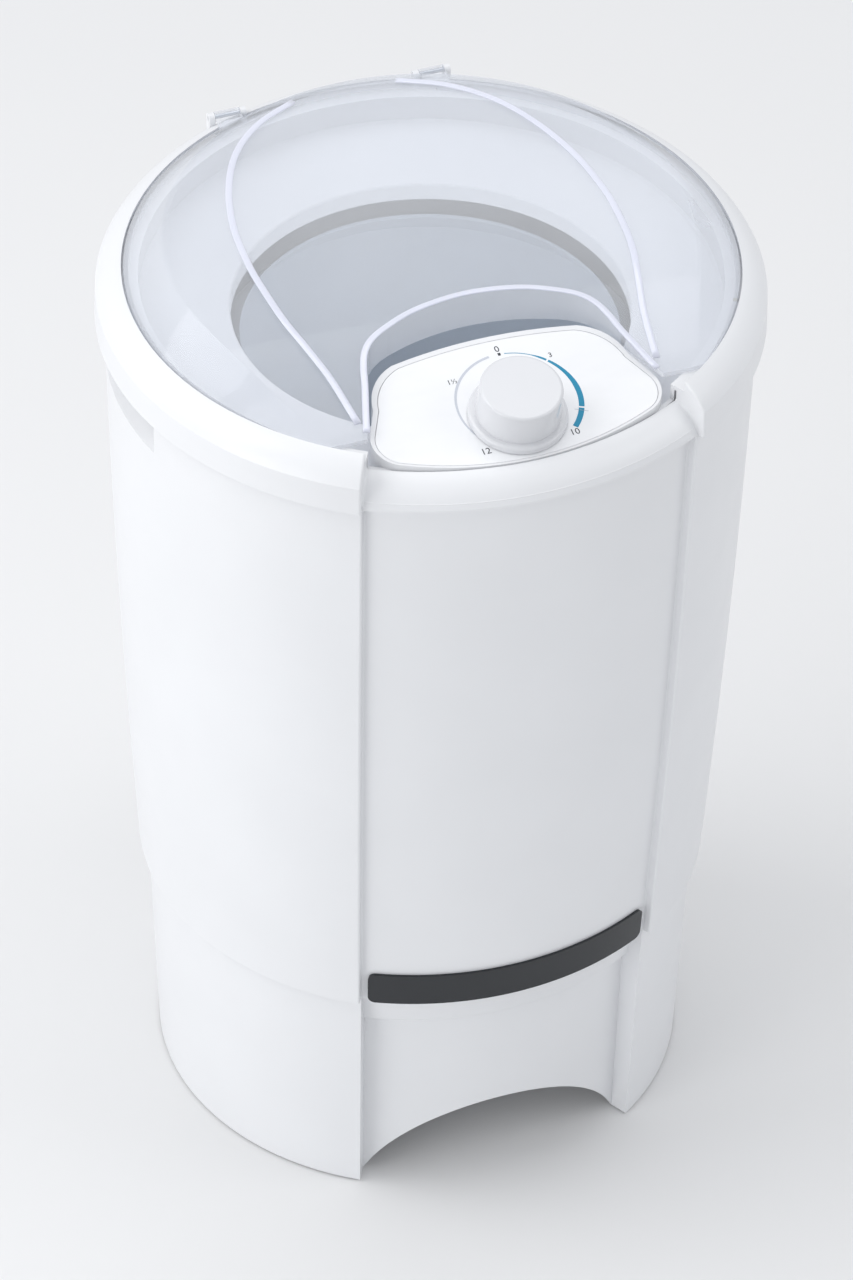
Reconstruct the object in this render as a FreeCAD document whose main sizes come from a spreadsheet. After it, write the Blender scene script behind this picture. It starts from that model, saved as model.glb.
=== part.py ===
"""Compact top-loading laundry spin dryer, built as an assembly of its real pieces.

Frame: origin on the floor at the drum's axis, +Z up, the dial's side faces -Y.
Lengths are millimetres and angles are degrees.
"""
import FreeCAD, Part

import math
import os

import Sketcher

# Driving dimensions: name -> (value, what it is).
DIMENSIONS = {
    # heights of the outside
    "foot_stand": (1.5, "gap between floor and stand, filled by the rubber feet"),
    "stand_height": (178.0, "joint between stand and cabinet"),
    "cover_height": (621.0, "lower edge of the top cover's skirt"),
    "crease_rise": (20.0, "crease above the skirt's lower edge"),
    "rim_rise": (36.0, "upper inner edge of the top cover above its lower edge"),
    "seat_drop": (7.0, "ledge for the lid under the cover's rim"),
    # radii of the outside
    "stand_floor_radius": (180.0, "stand at the floor"),
    "cabinet_low_radius": (193.0, "cabinet at its lower edge"),
    "cabinet_bulge": (9800.0, "radius of the cabinet's barrel-shaped side"),
    "cover_radius": (218.0, "outside of the top cover's skirt"),
    "cover_overhang": (6.0, "skirt stands out over the cabinet"),
    "stand_inset": (6.0, "stand stands back under the cabinet"),
    "skirt_lean": (0.6, "skirt leans in between its edge and its crease"),
    "shoulder_radius": (30.0, "round of the top cover's shoulder"),
    # stepped front
    "front_shift": (24.5, "axis of the flatter front lies this far behind the drum's axis"),
    "front_angle": (58.14, "angle of the stepped front about its own axis"),
    "front_recess": (9.9, "depth of the stepped front at its middle"),
    "cover_front_recess": (8.5, "depth of the top cover's front at its middle"),
    "step_round": (1.5, "round on the edges of the front's steps"),
    "cover_end_round": (1.5, "round on the ends of the top cover's ring"),
    "front_top_inset": (6.0, "stand's front at its top"),
    "front_shelf_inset": (9.0, "stand's front where the shelf ends"),
    "front_wall_inset": (5.0, "step under the shelf"),
    "front_floor_inset": (17.0, "stand's front wall at the floor"),
    "shelf_fall": (28.0, "lower edge of the stand's sloping shelf under its top"),
    "shelf_drop": (5.0, "height of the corner under the shelf"),
    "arch_radius": (98.7, "arch between the feet"),
    "arch_peak": (62.0, "highest point of the arch"),
    # walls and clearances
    "moulding": (3.0, "wall of the white mouldings"),
    "stand_wall": (3.5, "wall of the stand"),
    "over": (10.0, "how far a cut runs past what it cuts"),
    "gap": (0.3, "gap between neighbours that only rest side by side"),
    "running_gap": (0.05, "radial clearance of a shaft in its bearing"),
    # stand
    "deck_gap": (4.0, "deck above the arch"),
    "deck_thickness": (4.0, "deck of the stand"),
    "deck_opening": (72.0, "vent under the motor"),
    "tower_foot": (20.0, "radius of a suspension tower at the deck"),
    "tower_top": (14.0, "radius of a suspension tower at its top"),
    "tower_height": (80.0, "suspension tower above the deck"),
    "mount_circle": (143.0, "circle of the three suspension mounts"),
    "foot_inset": (15.0, "middle of a foot inside the stand's edge"),
    "foot_radius": (9.0, "rubber foot"),
    "foot_wall": (3.0, "wall round a rubber foot"),
    "foot_depth": (6.0, "height of a rubber foot"),
    "foot_boss_height": (22.0, "boss that holds a rubber foot"),
    "foot_angle": (45.0, "feet lie this far from the front and the back"),
    # cabinet
    "flange_width": (14.0, "cabinet's inward flange on the stand"),
    "grip_angle": (26.0, "angle of a side grip"),
    "grip_drop": (31.0, "side grip reaches below the skirt"),
    "grip_slope": (14.0, "rise of the grip's floor towards its back"),
    "grip_depth": (22.0, "depth of a side grip"),
    # trim strip
    "strip_drop": (1.0, "strip's lower edge under the cabinet's"),
    "strip_rise": (26.0, "height of the dark strip"),
    "strip_thickness": (2.0, "thickness of the dark strip"),
    "strip_angle": (55.5, "angle of the dark strip about the front's axis"),
    "strip_corner": (5.0, "round of the dark strip's corners"),
    # top cover
    "ring_width": (17.5, "top cover's ring, from its skirt to its rim"),
    "seat_width": (11.0, "width of the lid's seat"),
    "wall_drop": (19.0, "foot of the inner wall under the lid's seat"),
    "apron_corner": (2.5, "corner between the inner wall and the apron"),
    "apron_drop": (9.0, "fall of the apron to the mouth"),
    "mouth_margin": (30.0, "mouth of the funnel inside the tub's wall"),
    "collar_depth": (12.0, "collar under the mouth"),
    "nose_width": (28.0, "front band, from the skirt to its upper edge"),
    "nose_drop": (17.0, "front band's upper edge under the cover's rim"),
    "nose_round": (26.0, "round of the front band"),
    # control pod
    "panel_slope": (0.2126, "rise of the control panel per unit towards the back"),
    "pod_depth": (102.0, "pod's back behind the front band's edge"),
    "pod_corner_across": (79.0, "pod's back corner, sideways"),
    "pod_corner_inset": (80.0, "pod's back corner behind the front band's edge"),
    "pod_side_across": (95.4, "pod's side at its front end, sideways"),
    "pod_side_inset": (45.5, "front end of the pod's side behind that edge"),
    "pod_nose_across": (85.0, "end of the pod's curved front, sideways"),
    "pod_nose_arc": (20.5, "radius of the pod's front corners"),
    "pod_nose_step": (0.4, "pod's front stands back behind the front band's edge"),
    "pod_back_bulge": (330.0, "radius of the pod's back edge"),
    "pod_corner_lead": (16.0, "pod's back corners start to turn this far off"),
    "pod_corner_arc": (37.0, "radius of the pod's back corners"),
    "panel_thickness": (2.0, "control panel"),
    "panel_border": (3.0, "pod's border round the control panel"),
    # dial
    "dial_inset": (35.5, "dial's middle behind the front band's edge"),
    "knob_flange_radius": (32.0, "knob's flange"),
    "knob_flange_height": (5.0, "knob's flange"),
    "knob_flange_width": (4.5, "knob's flange outside its grip"),
    "knob_taper": (0.8, "taper of the knob's grip"),
    "knob_height": (28.5, "knob above the panel"),
    "knob_edge": (2.0, "round of the knob's top edge"),
    "knob_wall": (2.5, "wall of the hollow knob"),
    "knob_lift": (0.5, "gap between knob and panel"),
    "timer_radius": (21.0, "timer's case"),
    "timer_depth": (17.0, "timer's case"),
    "timer_shaft_radius": (3.0, "timer's shaft"),
    # lid
    "lid_wall": (3.0, "clear lid"),
    "lid_gap": (1.5, "gap round the lid's rim"),
    "lid_band": (24.5, "sloping band round the lid"),
    "lid_rise": (23.0, "lid's top above the cover's rim"),
    "lid_station_1": (45.0, "first section in front of the drum's axis"),
    "lid_station_2": (91.0, "second section"),
    "lid_step_3": (29.0, "third section behind the lid's front end"),
    "lid_front_inset": (38.0, "front end of the lid behind the front band's edge"),
    "lid_crest_1": (167.0, "lid's upper edge at the first section"),
    "lid_crest_2": (150.0, "lid's upper edge at the second section"),
    "lid_crest_3": (136.0, "lid's upper edge at the third section"),
    "lid_crest_4": (123.0, "lid's upper edge at its front end"),
    "lid_fall_1": (2.8, "fall of that edge at the first section"),
    "lid_fall_2": (11.5, "fall of that edge at the second section"),
    "lid_fall_3": (20.5, "fall of that edge at the third section"),
    "lid_fall_4": (26.5, "fall of that edge at the front end"),
    "lid_rim_fall_3": (1.0, "fall of the rim band's top at the third section"),
    "lid_rim_fall_4": (4.0, "fall of the rim band's top at the front end"),
    "notch_depth": (30.0, "back of the lid's notch behind the pod's"),
    "notch_corner_inset": (3.0, "notch's back corner inside the pod's, sideways"),
    "notch_corner_gap": (28.0, "notch's back corner behind the pod's"),
    "notch_side_gap": (4.6, "notch's front end beside the pod's side"),
    "notch_back_bulge": (140.0, "radius of the notch's back edge"),
    "notch_corner_lead": (18.0, "notch's back corners start to turn this far off"),
    "notch_corner_arc": (44.0, "radius of the notch's back corners"),
    "lid_lift": (0.4, "gap between the lid's rim and its seat"),
    # hinge
    "hinge_inset": (6.5, "hinge axis inside the cover's rim at the back"),
    "hinge_rise": (0.6, "hinge axis above the cover's rim"),
    "hinge_across": (72.0, "middle of a hinge, sideways"),
    "hinge_width": (26.0, "length of a hinge"),
    "ear_width": (4.0, "one ear of a hinge"),
    "ear_radius": (3.4, "ear and barrel of a hinge"),
    "pin_radius": (1.5, "hinge pin"),
    "hinge_relief": (2.1, "lid's rim stands higher at the back, clear of its swing"),
    # tub and drum
    "tub_radius": (160.0, "outside of the tub"),
    "tub_rise": (22.0, "tub's floor above the support plate"),
    "tub_drop": (31.0, "tub's upper edge under the cover's lower edge"),
    "tub_wall": (3.0, "tub"),
    "tub_slope": (6.0, "fall of the tub's floor to its edge"),
    "tub_rim_width": (8.0, "tub's rim"),
    "tub_seat_width": (5.0, "flat middle of the tub's floor round the shoulder"),
    "tub_gap": (20.0, "drum inside the tub"),
    "drum_wall": (1.5, "drum"),
    "drum_rise": (25.0, "drum's floor above the tub's"),
    "drum_shoulder_drop": (20.0, "height of the drum's turned-in shoulder"),
    "drum_mouth_gap": (6.0, "drum's mouth inside the funnel's"),
    "drum_drop": (19.0, "drum's mouth under the cover's lower edge"),
    "drum_floor_round": (22.0, "round of the drum's lower edge"),
    "hole_radius": (4.0, "hole in the drum's wall"),
    "hole_columns": (12, "holes round the drum"),
    "hole_rows": (4, "rows of holes"),
    "hole_rise": (35.0, "lowest row of holes above the drum's floor"),
    "hole_pitch": (32.0, "distance between rows"),
    # drive
    "shaft_radius": (8.0, "drive shaft"),
    "shaft_drop": (28.0, "lower end of the drive shaft under the motor's can"),
    "shaft_thread_radius": (5.0, "threaded end of the drive shaft"),
    "shaft_rise": (22.0, "upper end of the drive shaft above the drum's floor"),
    "hub_radius": (45.0, "drum hub's flange"),
    "hub_neck_radius": (17.0, "drum hub's neck"),
    "hub_length": (12.0, "drum hub under the drum's floor"),
    "hub_flange": (6.0, "thickness of the drum hub's flange"),
    "screw_circle": (33.0, "circle of the drum's screws"),
    "screw_radius": (2.5, "drum's screw"),
    "screw_head_radius": (4.5, "head of a drum's screw"),
    "screw_head": (3.0, "height of that head"),
    "screw_count": (6, "screws that hold the drum on its hub"),
    "plate_height": (203.0, "underside of the support plate"),
    "plate_thickness": (4.0, "support plate"),
    "plate_radius": (95.0, "support plate's middle"),
    "plate_arm_radius": (18.0, "end of a support plate's arm"),
    "housing_wall": (7.5, "wall round the upper bearing"),
    "housing_flange_width": (17.0, "bearing housing's flange"),
    "housing_shoulder_width": (8.0, "shoulder that carries the tub"),
    "housing_rise": (10.0, "top of the bearing housing above the tub's floor"),
    "bearing_width": (9.5, "bearing, from its bore to its outside"),
    "bearing_height": (11.0, "bearing"),
    "motor_radius": (62.0, "motor's can"),
    "motor_length": (70.0, "length of the motor's can"),
    "motor_drop": (33.0, "upper edge of the motor's can under the support plate"),
    "motor_wall": (3.0, "motor's can"),
    "bell_height": (12.0, "motor's end bell"),
    "boss_wall": (4.5, "bearing boss of an end bell"),
    "bell_boss_height": (3.0, "boss stands out of the bell"),
    "bell_web": (5.0, "web of an end bell"),
    "bell_lip": (2.0, "lip that holds a bearing in its boss"),
    "rotor_radius": (33.0, "rotor"),
    "air_gap": (0.6, "gap between rotor and stator"),
    "core_height": (40.0, "stator and rotor core"),
    "winding_rise": (9.0, "winding above and below the core"),
    "winding_inset": (5.0, "winding stands back from the bore"),
    "fan_radius": (48.0, "cooling fan"),
    "fan_height": (11.0, "cooling fan"),
    "fan_gap": (2.0, "gap between fan and end bell"),
    "fan_web": (2.0, "fan's disc"),
    "bolt_circle": (52.0, "circle of the motor's bolts"),
    "bolt_radius": (3.0, "motor bolt"),
    # brake
    "brake_radius": (36.0, "brake drum"),
    "brake_height": (12.0, "brake drum"),
    "brake_gap": (2.5, "gap between shoe and brake drum with the lid shut"),
    "brake_lower_gap": (1.5, "brake drum above the motor's boss"),
    "lever_length": (92.0, "brake lever"),
    "lever_width": (12.0, "brake lever"),
    "lever_thickness": (6.0, "brake lever"),
    "shoe_half": (12.0, "half the length of the brake shoe"),
    "shoe_depth": (8.0, "brake shoe at its ends"),
    "pivot_radius": (3.0, "pin of the brake lever"),
    # electrical parts and drain
    "capacitor_radius": (18.0, "run capacitor"),
    "capacitor_height": (62.0, "run capacitor"),
    "clamp_wall": (1.5, "capacitor's clamp"),
    "clamp_height": (14.0, "capacitor's clamp"),
    "drain_circle": (140.0, "tub's drain behind the drum's axis"),
    "hose_radius": (11.0, "drain hose"),
    "hose_wall": (2.0, "drain hose"),
    "spout_turn": (20.0, "radius of the spout's bend"),
    "gland_radius": (9.0, "cord gland's nut"),
    "gland_bore": (3.5, "way for the cord through the gland"),
    "gland_height": (100.0, "cord gland above the floor"),
    "gland_across": (50.0, "cord gland beside the middle"),
    "gland_stand_off": (1.0, "face of the gland's boss beyond the stand's foot"),
    "gland_boss": (12.0, "radius and depth of the gland's boss"),
    # lid switch
    "switch_angle": (62.0, "lid switch, round from the front towards +X"),
    "switch_inset": (1.7, "lid switch's plunger inside the lid's rim"),
    "switch_stand_off": (4.2, "lid switch's outer end inside the ring's two walls"),
    "switch_width": (14.0, "lid switch, along the rim"),
    "switch_height": (14.0, "lid switch"),
    "plunger_radius": (1.6, "plunger of the lid switch"),
    "plunger_reach": (8.0, "plunger under the lid's seat"),
    # small features of the drive
    "race_width": (3.0, "each race of a bearing"),
    "race_groove": (1.2, "groove between a bearing's races"),
    "housing_clear": (2.0, "housing's bore wider than the shaft"),
    "flange_edge": (3.0, "thickness of the housing's flange at its rim"),
    "flange_rise": (5.0, "thickness of the housing's flange at its root"),
    "hub_thread_rise": (6.0, "shaft's thread starts above the drum's floor"),
    "nut_across": (9.5, "shaft nut, over its corners"),
    "nut_height": (9.0, "shaft nut"),
    "cap_wall": (2.0, "hub cap"),
    "cap_rise": (28.0, "hub cap above the drum's floor"),
    "cap_crown": (14.0, "flat top of the hub cap"),
    "cap_side": (60.0, "radius of the hub cap's side"),
    "winding_clear": (2.0, "winding heads inside the motor's bolts"),
    "blade_root": (6.0, "fan blades start beyond the shaft"),
    "blade_half": (1.0, "half the thickness of a fan blade"),
    "bolt_end": (6.0, "motor bolts above the plate"),
    "bolt_head_radius": (5.7, "heads and nuts of the motor bolts"),
    "bolt_head_height": (4.0, "heads and nuts of the motor bolts"),
    "sleeve_radius": (4.8, "spacer sleeves on the motor bolts"),
    "brake_wall": (5.0, "rim of the brake drum"),
    "brake_web": (3.0, "web of the brake drum"),
    "brake_hub": (6.0, "hub of the brake drum beyond the shaft"),
    "pivot_head": (2.5, "reach of the brake pivot's head under the lever"),
    # small electrical features
    "capacitor_inset": (20.0, "capacitor inside the mounts' circle"),
    "capacitor_angle": (60.0, "capacitor, round from the front towards +X"),
    "tab_width": (6.0, "capacitor's tabs, and each from the middle"),
    "tab_thickness": (1.0, "capacitor's tabs"),
    "tab_height": (8.0, "capacitor's tabs"),
    "clamp_foot_length": (30.0, "clamp's foot beyond the capacitor"),
    "clamp_foot_width": (12.0, "clamp's foot"),
    "clamp_foot_height": (2.0, "clamp's foot"),
    "terminal_inset": (8.0, "terminal block inside the mounts' circle"),
    "terminal_angle": (160.0, "terminal block, round from the front towards +X"),
    "terminal_length": (40.0, "terminal block"),
    "terminal_width": (18.0, "terminal block"),
    "terminal_height": (12.0, "terminal block"),
    "terminal_pitch": (12.0, "from one terminal to the next"),
    "terminal_slot": (6.0, "width and half the depth of a terminal's slot"),
    "gland_neck": (2.0, "gland's neck narrower than its nut"),
    "gland_tail": (16.0, "gland's thread behind the stand's wall"),
    "gland_nut": (4.0, "thickness of the gland's nut"),
    "spout_tail": (12.0, "spout beyond its bend"),
    "spout_lap": (6.0, "spout inside the hose above the deck's foot"),
    "spout_drop": (10.0, "spout's bend starts under the deck's foot"),
    "hose_drop": (8.0, "hose under the deck's foot"),
}


class Size:
    """A number that also carries the sheet formula it comes from."""

    def __init__(self, value, formula):
        self.value = value
        self.formula = formula

    def __add__(self, other):
        return joined(self, "+", other)

    def __radd__(self, other):
        return joined(other, "+", self)

    def __sub__(self, other):
        return joined(self, "-", other)

    def __rsub__(self, other):
        return joined(other, "-", self)

    def __mul__(self, other):
        return joined(self, "*", other)

    def __rmul__(self, other):
        return joined(other, "*", self)

    def __truediv__(self, other):
        return joined(self, "/", other)

    def __neg__(self):
        return joined(-1, "*", self)


ARITHMETIC = {
    "+": lambda first, second: first + second,
    "-": lambda first, second: first - second,
    "*": lambda first, second: first * second,
    "/": lambda first, second: first / second,
}


def as_size(number):
    """The number as a Size; a plain number becomes its own formula."""
    if isinstance(number, Size):
        return number
    return Size(number, "(%s)" % number)


def joined(first, sign, second):
    """Two numbers joined by a sign, as one Size."""
    first = as_size(first)
    second = as_size(second)
    value = ARITHMETIC[sign](first.value, second.value)
    return Size(value, "(%s %s %s)" % (first.formula, sign, second.formula))


def sine(angle):
    angle = as_size(angle)
    return Size(math.sin(math.radians(angle.value)), "sin(%s)" % angle.formula)


def cosine(angle):
    angle = as_size(angle)
    return Size(math.cos(math.radians(angle.value)), "cos(%s)" % angle.formula)


def root(number):
    return Size(math.sqrt(number.value), "sqrt(%s)" % number.formula)


class Sheet:
    """The document's spreadsheet, with each cell read as a Size by its alias."""

    def __init__(self, document, dimensions):
        self.names = set(dimensions)
        self.values = {}
        cells = document.addObject("Spreadsheet::Sheet", "Sizes")
        for row, (alias, (value, meaning)) in enumerate(dimensions.items(), start=1):
            cells.set("A%d" % row, alias)
            cells.set("B%d" % row, str(value))
            cells.set("C%d" % row, meaning)
            cells.setAlias("B%d" % row, alias)
            self.values[alias] = value

    def __getattr__(self, alias):
        return Size(self.values[alias], "Sizes." + alias)


doc = FreeCAD.newDocument("SpinDryer")
size = Sheet(doc, DIMENSIONS)
doc.recompute()
nodes = {}


# ---------------------------------------- sizes that follow, each by a named step

size.stand_top_radius = size.cabinet_low_radius - size.stand_inset
size.crease_height = size.cover_height + size.crease_rise
size.rim_height = size.cover_height + size.rim_rise
size.seat_height = size.rim_height - size.seat_drop
size.wall_foot = size.seat_height - size.wall_drop
size.nose_height = size.rim_height - size.nose_drop
size.lid_top = size.rim_height + size.lid_rise
size.lid_crest_height_1 = size.lid_top - size.lid_fall_1
size.lid_crest_height_2 = size.lid_top - size.lid_fall_2
size.lid_crest_height_3 = size.lid_top - size.lid_fall_3
size.lid_crest_height_4 = size.lid_top - size.lid_fall_4
size.lid_rim_height_3 = size.rim_height - size.lid_rim_fall_3
size.lid_rim_height_4 = size.rim_height - size.lid_rim_fall_4
size.hinge_height = size.rim_height + size.hinge_rise
size.tub_top = size.cover_height - size.tub_drop
size.drum_mouth_height = size.cover_height - size.drum_drop
size.drum_shoulder = size.drum_mouth_height - size.drum_shoulder_drop
size.strip_low = size.stand_height - size.strip_drop
size.shelf_height = size.stand_height - size.shelf_fall
size.tub_floor = size.plate_height + size.tub_rise
size.drum_floor = size.tub_floor + size.drum_rise
size.hub_foot = size.drum_floor - size.hub_length
size.housing_top = size.tub_floor + size.housing_rise
size.shaft_end = size.drum_floor + size.shaft_rise
size.motor_top = size.plate_height - size.motor_drop
size.motor_foot = size.motor_top - size.motor_length
size.shaft_foot = size.motor_foot - size.shaft_drop
size.hole_first_row = size.drum_floor + size.hole_rise
size.rim_radius = size.cover_radius - size.ring_width
size.wall_radius = size.rim_radius - size.seat_width
size.apron_outer = size.wall_radius - size.apron_corner
size.lid_radius = size.rim_radius - size.lid_gap
size.lid_crest_radius = size.lid_radius - size.lid_band
size.nose_radius = size.cover_radius - size.nose_width
size.hinge_back = size.rim_radius - size.hinge_inset
size.switch_circle = size.lid_radius - size.switch_inset
size.switch_near = size.wall_radius + size.moulding + size.gap
size.switch_far = size.cover_radius - 2 * size.moulding - size.switch_stand_off
size.switch_length = size.switch_far - size.switch_near
size.dial_front = size.nose_radius - size.dial_inset
size.pod_back = size.nose_radius - size.pod_depth
size.pod_corner_front = size.nose_radius - size.pod_corner_inset
size.pod_side_front = size.nose_radius - size.pod_side_inset
size.notch_back = size.pod_back - size.notch_depth
size.notch_corner_front = size.pod_corner_front - size.notch_corner_gap
size.notch_corner_across = size.pod_corner_across - size.notch_corner_inset
size.notch_front_across = size.pod_side_across + size.notch_side_gap
size.lid_front = size.nose_radius - size.lid_front_inset
size.lid_station_3 = size.lid_front - size.lid_step_3
size.mouth_radius = size.tub_radius - size.mouth_margin
size.drum_radius = size.tub_radius - size.tub_gap
size.drum_mouth_radius = size.mouth_radius - size.drum_mouth_gap
size.foot_circle = size.stand_floor_radius - size.foot_inset
size.gland_back = size.stand_floor_radius + size.gland_stand_off
size.stand_front_top = size.stand_top_radius - size.front_top_inset
size.stand_front_shelf = size.stand_front_top - size.front_shelf_inset
size.stand_front_wall = size.stand_front_shelf - size.front_wall_inset
size.stand_front_floor = size.stand_floor_radius - size.front_floor_inset
size.bearing_radius = size.shaft_radius + size.bearing_width
size.bell_boss = size.bearing_radius + size.boss_wall
size.knob_grip_radius = size.knob_flange_radius - size.knob_flange_width
size.knob_top_radius = size.knob_grip_radius - size.knob_taper
size.housing_radius = size.bearing_radius + size.housing_wall
size.housing_flange = size.housing_radius + size.housing_flange_width
size.housing_shoulder = size.housing_radius + size.housing_shoulder_width
size.tub_seat_radius = size.housing_shoulder + size.tub_seat_width


# ---------------------------------------------------------------- drawing helpers

def bind(thing, prop, number):
    """Give a property its size, tied to the sheet."""
    number = as_size(number)
    thing.setExpression(prop, number.formula)


def place(thing, across=0, along=0, up=0, tilt=0, turn=0):
    """Put a thing at (across, along, up), tilted about X or turned about Z."""
    tilt_value = as_size(tilt).value
    turn_value = as_size(turn).value
    axis = FreeCAD.Vector(1, 0, 0) if tilt_value else FreeCAD.Vector(0, 0, 1)
    rotation = FreeCAD.Rotation(axis, tilt_value or turn_value)
    base = FreeCAD.Vector(*[as_size(part).value for part in (across, along, up)])
    thing.Placement = FreeCAD.Placement(base, rotation)
    for letter, number in (("x", across), ("y", along), ("z", up)):
        if isinstance(number, Size):
            bind(thing, "Placement.Base." + letter, number)
    for number in (tilt, turn):
        if isinstance(number, Size):
            bind(thing, "Placement.Rotation.Angle", number)
    return thing


def new_body(name):
    return doc.addObject("PartDesign::Body", name)


def new_sketch(body, name, plane, shift=(0, 0, 0)):
    """A sketch on one of the body's own planes, moved by shift in that plane's frame."""
    sketch = body.newObject("Sketcher::SketchObject", name)
    support = [item for item in body.Origin.OriginFeatures if item.Role == plane]
    sketch.AttachmentSupport = [(support[0], "")]
    sketch.MapMode = "FlatFace"
    base = FreeCAD.Vector(*[as_size(part).value for part in shift])
    sketch.AttachmentOffset = FreeCAD.Placement(base, FreeCAD.Rotation())
    for letter, number in zip("xyz", shift):
        if isinstance(number, Size):
            bind(sketch, "AttachmentOffset.Base." + letter, number)
    return sketch


def point_of(corner):
    return FreeCAD.Vector(as_size(corner[0]).value, as_size(corner[1]).value, 0)


def arc_between(start, end, radius):
    """The short arc from start to end; a positive radius turns left on the way."""
    chord = end - start
    middle = (start + end) * 0.5
    left = FreeCAD.Vector(-chord.y, chord.x, 0).normalize()
    reach = math.sqrt(radius * radius - chord.Length ** 2 / 4)
    centre = middle + left * math.copysign(reach, radius)
    top = centre + (middle - centre).normalize() * abs(radius)
    return Part.Arc(start, top, end)


def hold_point(sketch, edge, end, corner):
    """Dimension one end of an edge from the sketch's origin."""
    for axis, kind, number in ((-2, "DistanceX", corner[0]), (-1, "DistanceY", corner[1])):
        number = as_size(number)
        if number.value == 0:
            sketch.addConstraint(Sketcher.Constraint("PointOnObject", edge, end, axis))
            continue
        rule = Sketcher.Constraint(kind, -1, 1, edge, end, number.value)
        index = sketch.addConstraint(rule)
        bind(sketch, "Constraints[%d]" % index, number)


def outline(sketch, path):
    """Draw a closed line through the (across, up) points of path.

    A Size between two points makes the stretch between them an arc of that
    radius: positive turns left on the way, negative turns right.
    """
    corners = [step for step in path if isinstance(step, tuple)]
    radii = {}
    passed = -1
    for step in path:
        if isinstance(step, tuple):
            passed += 1
        else:
            radii[passed] = as_size(step)
    first = sketch.GeometryCount
    count = len(corners)
    for index in range(count):
        start = point_of(corners[index])
        end = point_of(corners[(index + 1) % count])
        if index in radii:
            edge = arc_between(start, end, radii[index].value)
        else:
            edge = Part.LineSegment(start, end)
        sketch.addGeometry(edge, False)
    tails = []
    for index in range(count):
        begin = sketch.getPoint(first + index, 1)
        tails.append(1 if begin.distanceToPoint(point_of(corners[index])) < 1e-6 else 2)
    for index in range(count):
        following = (index + 1) % count
        sketch.addConstraint(Sketcher.Constraint(
            "Coincident", first + index, 3 - tails[index], first + following, tails[following]))
    for index in range(count):
        hold_point(sketch, first + index, tails[index], corners[index])
    for index, radius in radii.items():
        arc = sketch.Geometry[first + index]
        rule = sketch.addConstraint(Sketcher.Constraint("Radius", first + index, arc.Radius))
        bind(sketch, "Constraints[%d]" % rule, radius if radius.value > 0 else -radius)


def ring(sketch, across, up, radius):
    """Draw a full circle."""
    centre = point_of((across, up))
    index = sketch.addGeometry(
        Part.Circle(centre, FreeCAD.Vector(0, 0, 1), as_size(radius).value), False)
    hold_point(sketch, index, 3, (across, up))
    rule = sketch.addConstraint(Sketcher.Constraint("Radius", index, as_size(radius).value))
    bind(sketch, "Constraints[%d]" % rule, radius)


def spin(body, name, path, cut=False):
    """Revolve a path of (radius, height) points fully about the body's Z axis."""
    sketch = new_sketch(body, name + "_sketch", "XZ_Plane")
    outline(sketch, path)
    kind = "PartDesign::Groove" if cut else "PartDesign::Revolution"
    feature = body.newObject(kind, name)
    feature.Profile = sketch
    feature.ReferenceAxis = (sketch, ["V_Axis"])
    feature.Angle = 360
    return feature


def spin_sector(body, name, path, angle, plane="XZ_Plane", shift=0, cut=False):
    """Revolve a path through an angle that is centred on the sketch's plane.

    With YZ_Plane and a shift, the axis stands that far behind the drum's axis.
    """
    sketch = new_sketch(body, name + "_sketch", plane, (shift, 0, 0))
    outline(sketch, path)
    kind = "PartDesign::Groove" if cut else "PartDesign::Revolution"
    feature = body.newObject(kind, name)
    feature.Profile = sketch
    feature.ReferenceAxis = (sketch, ["V_Axis"])
    feature.Angle = as_size(angle).value
    feature.Midplane = True
    bind(feature, "Angle", angle)
    return feature


def extrude(body, name, length, paths=(), rings=(), plane="XY_Plane", shift=(0, 0, 0),
            cut=False, both=False, back=False):
    """Pad or pocket closed paths and rings, from one plane or to both sides of it."""
    sketch = new_sketch(body, name + "_sketch", plane, shift)
    for path in paths:
        outline(sketch, path)
    for across, up, radius in rings:
        ring(sketch, across, up, radius)
    feature = body.newObject("PartDesign::Pocket" if cut else "PartDesign::Pad", name)
    feature.Profile = sketch
    feature.Length = as_size(length).value
    feature.Midplane = both
    feature.Reversed = back
    bind(feature, "Length", length)
    return feature


def round_edges(body, name, base, radius, wanted):
    """Fillet the edges of base for which wanted(edge) is true."""
    doc.recompute()
    edges = ["Edge%d" % number for number, edge in enumerate(base.Shape.Edges, start=1)
             if wanted(edge)]
    feature = body.newObject("PartDesign::Fillet", name)
    feature.Base = (base, edges)
    feature.Radius = as_size(radius).value
    bind(feature, "Radius", radius)
    return feature


def repeat_round(body, name, feature, count, angle=360):
    """Repeat a feature about the body's Z axis."""
    pattern = body.newObject("PartDesign::PolarPattern", name)
    pattern.Originals = [feature]
    axis = [item for item in body.Origin.OriginFeatures if item.Role == "Z_Axis"]
    pattern.Axis = (axis[0], [""])
    pattern.Angle = angle
    pattern.Occurrences = int(as_size(count).value)
    if isinstance(count, Size):
        bind(pattern, "Occurrences", count)
    body.Tip = pattern
    return pattern


def cylinder(name, radius, height, **where):
    thing = doc.addObject("Part::Cylinder", name)
    bind(thing, "Radius", radius)
    bind(thing, "Height", height)
    return place(thing, **where)


def cone(name, low, high, height, **where):
    thing = doc.addObject("Part::Cone", name)
    bind(thing, "Radius1", low)
    bind(thing, "Radius2", high)
    bind(thing, "Height", height)
    return place(thing, **where)


def block(name, width, depth, height, **where):
    """A box that stands on its place and is centred on it sideways and lengthways."""
    thing = doc.addObject("Part::Box", name)
    bind(thing, "Length", width)
    bind(thing, "Width", depth)
    bind(thing, "Height", height)
    where["across"] = as_size(where.get("across", 0)) - as_size(width) / 2
    where["along"] = as_size(where.get("along", 0)) - as_size(depth) / 2
    return place(thing, **where)


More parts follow.
